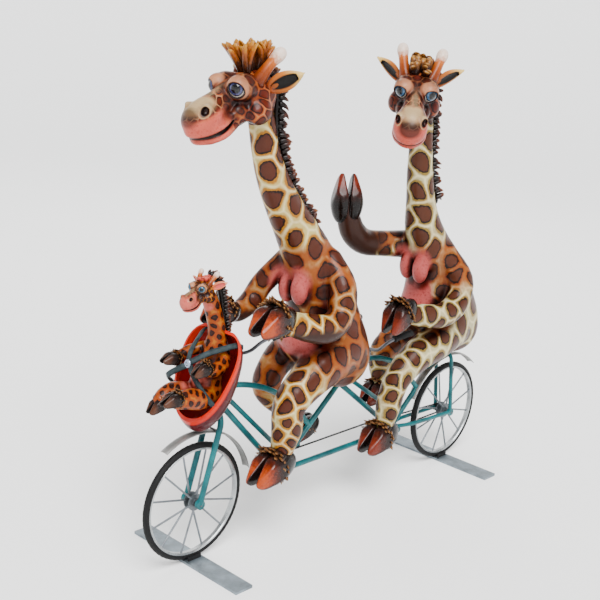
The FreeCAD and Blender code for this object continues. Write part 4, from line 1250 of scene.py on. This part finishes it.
def make_grips(material):
    """Ribbed rubber sleeves along the ends of the handlebars."""
    profile = [(-26, 2.2), (-26, 4.6), (-25, 5.0), (-23.8, 4.6)]
    for k in range(15):
        at = -23 + 1.5 * k
        profile += [(at, 3.5), (at + 0.35, 4.1), (at + 0.9, 4.1), (at + 1.2, 3.5)]
    profile += [(0.5, 4.4), (1.6, 4.4), (2.4, 3.4), (2.6, 0.1)]
    sides = 24
    parts = []
    for end, bend in GRIP_ENDS:
        for side in (1, -1):
            tip, inner = (np.array(spot) * [1, side, 1] for spot in (end, bend))
            axis = unit(tip - inner)
            first = unit(np.cross(axis, [0, 0, 1.0]))
            second = np.cross(axis, first)
            points = [tip + axis * at + radius * (first * x + second * y)
                      for at, radius in profile for x, y in circle(sides)]
            parts.append((points, ring_faces(len(profile), sides, caps=True), ()))
    points, faces, _ = gather(parts)
    make_object("ribbed_grips", points, faces, material,
                replaced=("grips",))


def make_tyre(name, body, material):
    """A round-shouldered tyre with a centre line and slanted side blocks in its tread."""
    low, high = (np.array(corner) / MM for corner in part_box(name))
    center = (low + high) / 2
    half = (high[1] - low[1]) / 2
    deep = half * 0.96
    around, across, blocks = 240, 18, 60
    points = []
    for i in range(around):
        angle = 2 * math.pi * i / around
        for wide, tall in circle(across):
            slant = math.sin(angle * blocks + 5.0 * abs(wide))
            groove = -0.45 * max(0.0, tall - 0.25) * (slant > 0.25)
            if tall > 0.985:
                groove = -0.2
            radius = (high[2] - low[2]) / 2 - deep + deep * tall + groove
            points.append(center + np.array([radius * math.cos(angle), half * wide,
                                             radius * math.sin(angle)]))
    make_object(name + "_tread", points, ring_faces(around, across, closed=True, flipped=True),
                material, body=body, replaced=(name,))


def weld_beads(material):
    """Rippled beads where the frame tubes are brazed to the bottom brackets."""
    around, sides, ripples, bead = 72, 8, 18, 6.1
    parts = []
    for x, z in BRACKETS:
        for y in (-6.0, 6.0):
            points = []
            for i in range(around):
                a = 2 * math.pi * i / around
                thick = 0.9 + 0.16 * math.sin(a * ripples)
                for out, beside in circle(sides):
                    r = bead + thick * out
                    points.append((x + r * math.cos(a), y + thick * beside,
                                   z + r * math.sin(a)))
            parts.append((points, ring_faces(around, sides, closed=True), ()))
    points, faces, _ = gather(parts)
    make_object("bracket_beads", points, faces, material)


# ---- put it together ----
make_camera()
make_lights()

floor_mesh = bpy.data.meshes.new("floor")
rings, sectors = (0.0, 3.0, 4.0, 5.5, 7.5, 10.0, 13.0, 17.0), 64
bowl = [(r * x, r * y, 0.035 * max(r - 3.0, 0.0) ** 2) for r in rings for x, y in circle(sectors)]
floor_mesh.from_pydata(bowl, [], ring_faces(len(rings), sectors))
floor_mesh.shade_smooth()
floor = add("floor", floor_mesh)
floor_paint = Material("floor_pale", 0.85)
floor_paint.color(floor_paint.ramp(floor_paint.noise(3.0), [(0.0, (247, 248, 248)),
                                                            (1.0, (250, 250, 250))]))
floor_mesh.materials.append(floor_paint.material)

teal = enamel("frame_teal_enamel", (10, 94, 98), (4, 54, 60))
steel = metal("foot_steel_satin", (132, 144, 152), 0.4)
rim_metal = metal("rim_metal", (178, 182, 184), 0.3)
spoke_metal = metal("spoke_metal", (120, 126, 132), 0.36)
hub_metal = metal("hub_metal", (96, 102, 106), 0.4)
fender_metal = metal("fender_metal", (148, 148, 146), 0.42, 0.6, 0.35)
bar_metal = metal("bar_metal", (104, 106, 112), 0.4, 0.6, 0.4)
black = rubber("black_rubber_plain", (16, 16, 17))
tyre_rubber = rubber("tyre_rubber", (7, 7, 8))
chain_metal = metal("chain_metal", (26, 27, 29), 0.45, 0.6, 0.4)

paint_cad(teal, "fork", "head_tube", "bottom_bracket_shells", "seat_tubes", "down_tubes",
          "arch_tubes", "bottom_tube", "chain_stays", "seat_stays", "saddle_plates",
          "crank_arms")
paint_cad(steel, "foot_bars")
paint_cad(rim_metal, "front_rim", "rear_rim")
paint_cad(spoke_metal, "front_spokes", "rear_spokes")
paint_cad(hub_metal, "front_hub", "rear_hub", "wheel_axles", "hub_cones", "headset_cups",
          "crank_axles")
paint_cad(fender_metal, "front_fender", "rear_fender")
paint_cad(bar_metal, "front_handlebar", "rear_handlebar", "seat_bracket")
paint_cad(black, "tyre_cradles", "pedals", "grips")
paint_cad(chain_metal, "chainrings", "rear_sprocket", "chains")
paint_cad(seat_paint(), "seat_shell")

for wheel in ("front", "rear"):
    make_tyre(wheel + "_tyre", wheel + "_wheel", tyre_rubber)
make_grips(black)
weld_beads(teal)

front_coat = coat("coat_front", (214, 200, 140), (190, 142, 44), (112, 62, 40), (44, 26, 20),
                  (176, 112, 48), (150, 78, 24), (214, 128, 124), (176, 84, 80))
rear_coat = coat("coat_rear", (206, 200, 164), (168, 146, 84), (114, 70, 48), (46, 32, 26),
                 (176, 116, 56), (150, 82, 32), (206, 120, 116), (166, 78, 76))
calf_coat = coat("coat_calf", (196, 134, 40), (174, 94, 24), (92, 40, 22), (52, 24, 16),
                 (204, 152, 48), (180, 110, 30), (222, 136, 122), (192, 92, 84))
head_coat = coat("head_front", (200, 140, 72), (168, 90, 36), (128, 56, 26), (58, 28, 18),
                 (196, 124, 62), (158, 74, 30), (224, 130, 112), (198, 92, 80))
rear_head_coat = coat("head_rear", (196, 134, 76), (156, 76, 42), (124, 54, 34), (60, 30, 24),
                      (180, 112, 64), (146, 66, 38), (224, 128, 112), (196, 90, 80))
horn_paint = graded("horn_paint", [
    (0.0, (112, 52, 16)), (0.4, (164, 88, 24)), (0.66, (196, 120, 48)), (0.8, (236, 216, 202)),
    (1.0, (248, 242, 238))], streaky=0.05)
adult_ear = ear_paint("ear_paint", [
    (0.0, (116, 50, 14)), (0.5, (166, 92, 24)), (1.0, (200, 168, 96))], (10, 7, 6))
calf_ear = ear_paint("calf_ear_paint", [(0.0, (176, 86, 36)), (1.0, (206, 128, 96))],
                     (180, 72, 66))
hoof_paint = graded("hoof_paint", [
    (0.0, (32, 22, 20)), (0.3, (62, 34, 27)), (0.6, (108, 48, 24)), (0.85, (160, 72, 26)),
    (1.0, (182, 90, 32))], gloss=0.22, coat=0.2)
red_hoof = graded("red_hoof", [
    (0.0, (26, 18, 16)), (0.35, (58, 30, 24)), (0.7, (96, 42, 28)), (1.0, (134, 60, 38))],
    gloss=0.22)
calf_hoof = graded("calf_hoof", [
    (0.0, (26, 18, 16)), (0.5, (56, 36, 29)), (1.0, (108, 72, 52))], gloss=0.26)
fur_paint = graded("fur_paint", [
    (0.0, (30, 20, 16)), (0.5, (70, 46, 32)), (0.85, (138, 98, 60)), (1.0, (178, 140, 92))])
mane_paint = graded("mane_paint", [
    (0.0, (18, 12, 10)), (0.45, (52, 30, 26)), (0.75, (112, 66, 50)), (1.0, (176, 126, 80))])
forelock_paint = graded("forelock_paint", [
    (0.0, (28, 17, 12)), (0.35, (92, 50, 22)), (0.7, (170, 102, 28)), (1.0, (200, 156, 62))])
dark_lock = graded("dark_forelock", [
    (0.0, (20, 12, 10)), (0.5, (66, 36, 26)), (0.85, (150, 104, 50)), (1.0, (190, 150, 84))])
calf_lock = graded("calf_forelock", [
    (0.0, (60, 26, 24)), (0.5, (190, 84, 70)), (1.0, (222, 120, 104))])
clasp_metal = metal("clasp_metal", (176, 190, 214), 0.18, 0.9)

ADULT = {"body": 27.0, "neck": 23.0, "arm": 19.0, "thigh": 23.0, "shin": 15.5, "reach": 0.5,
         "gap": 0.15, "light": 0.75}
YOUNG = {"body": 9.5, "neck": 9.0, "arm": 8.0, "thigh": 9.0, "shin": 8.5, "reach": 0.36,
         "gap": 0.17, "light": 0.0}

for rider, skin in ((FRONT_RIDER, front_coat), (REAR_RIDER, rear_coat)):
    replaced = tuple(rider["name"] + part for part in ("_body", "_arms", "_legs"))
    make_body(rider, skin, replaced, 1.5, ADULT, 12.0)
make_body(CALF, calf_coat, ("calf_body", "calf_limbs"), 0.8, YOUNG, 5.0)

front_eye = eye_paint((58, 60, 100), (14, 14, 30))
rear_eye = eye_paint((52, 90, 122), (12, 26, 46))
calf_eye = eye_paint((60, 110, 140), (12, 34, 50))
for rider, skin, skin_slot, cell, eyes, ear, hoofs, hoof_slot, crown, mane_size in (
        (FRONT_RIDER, head_coat, "coat_brown", 0.85, front_eye, adult_ear, hoof_paint,
         "hoof_chestnut", forelock_paint, 1.0),
        (REAR_RIDER, rear_head_coat, "coat_brown", 0.85, rear_eye, adult_ear, red_hoof,
         "hoof_chestnut", dark_lock, 1.0),
        (CALF, calf_coat, "calf_orange", 1.1, calf_eye, calf_ear, calf_hoof, "hoof_dark",
         calf_lock, 0.58)):
    own = rider["name"]
    place = make_head(rider, skin, (own + "_head", skin_slot), cell)
    make_eyes(rider, place, eyes)
    make_horns_and_ears(rider, place, horn_paint, ear, own + "_horns_ears")
    make_hooves(rider, hoofs, fur_paint, (own + "_hooves", hoof_slot))
    make_mane(rider, mane_paint, crown, own + "_mane", mane_size)
make_harness(strap_paint(), clasp_metal)
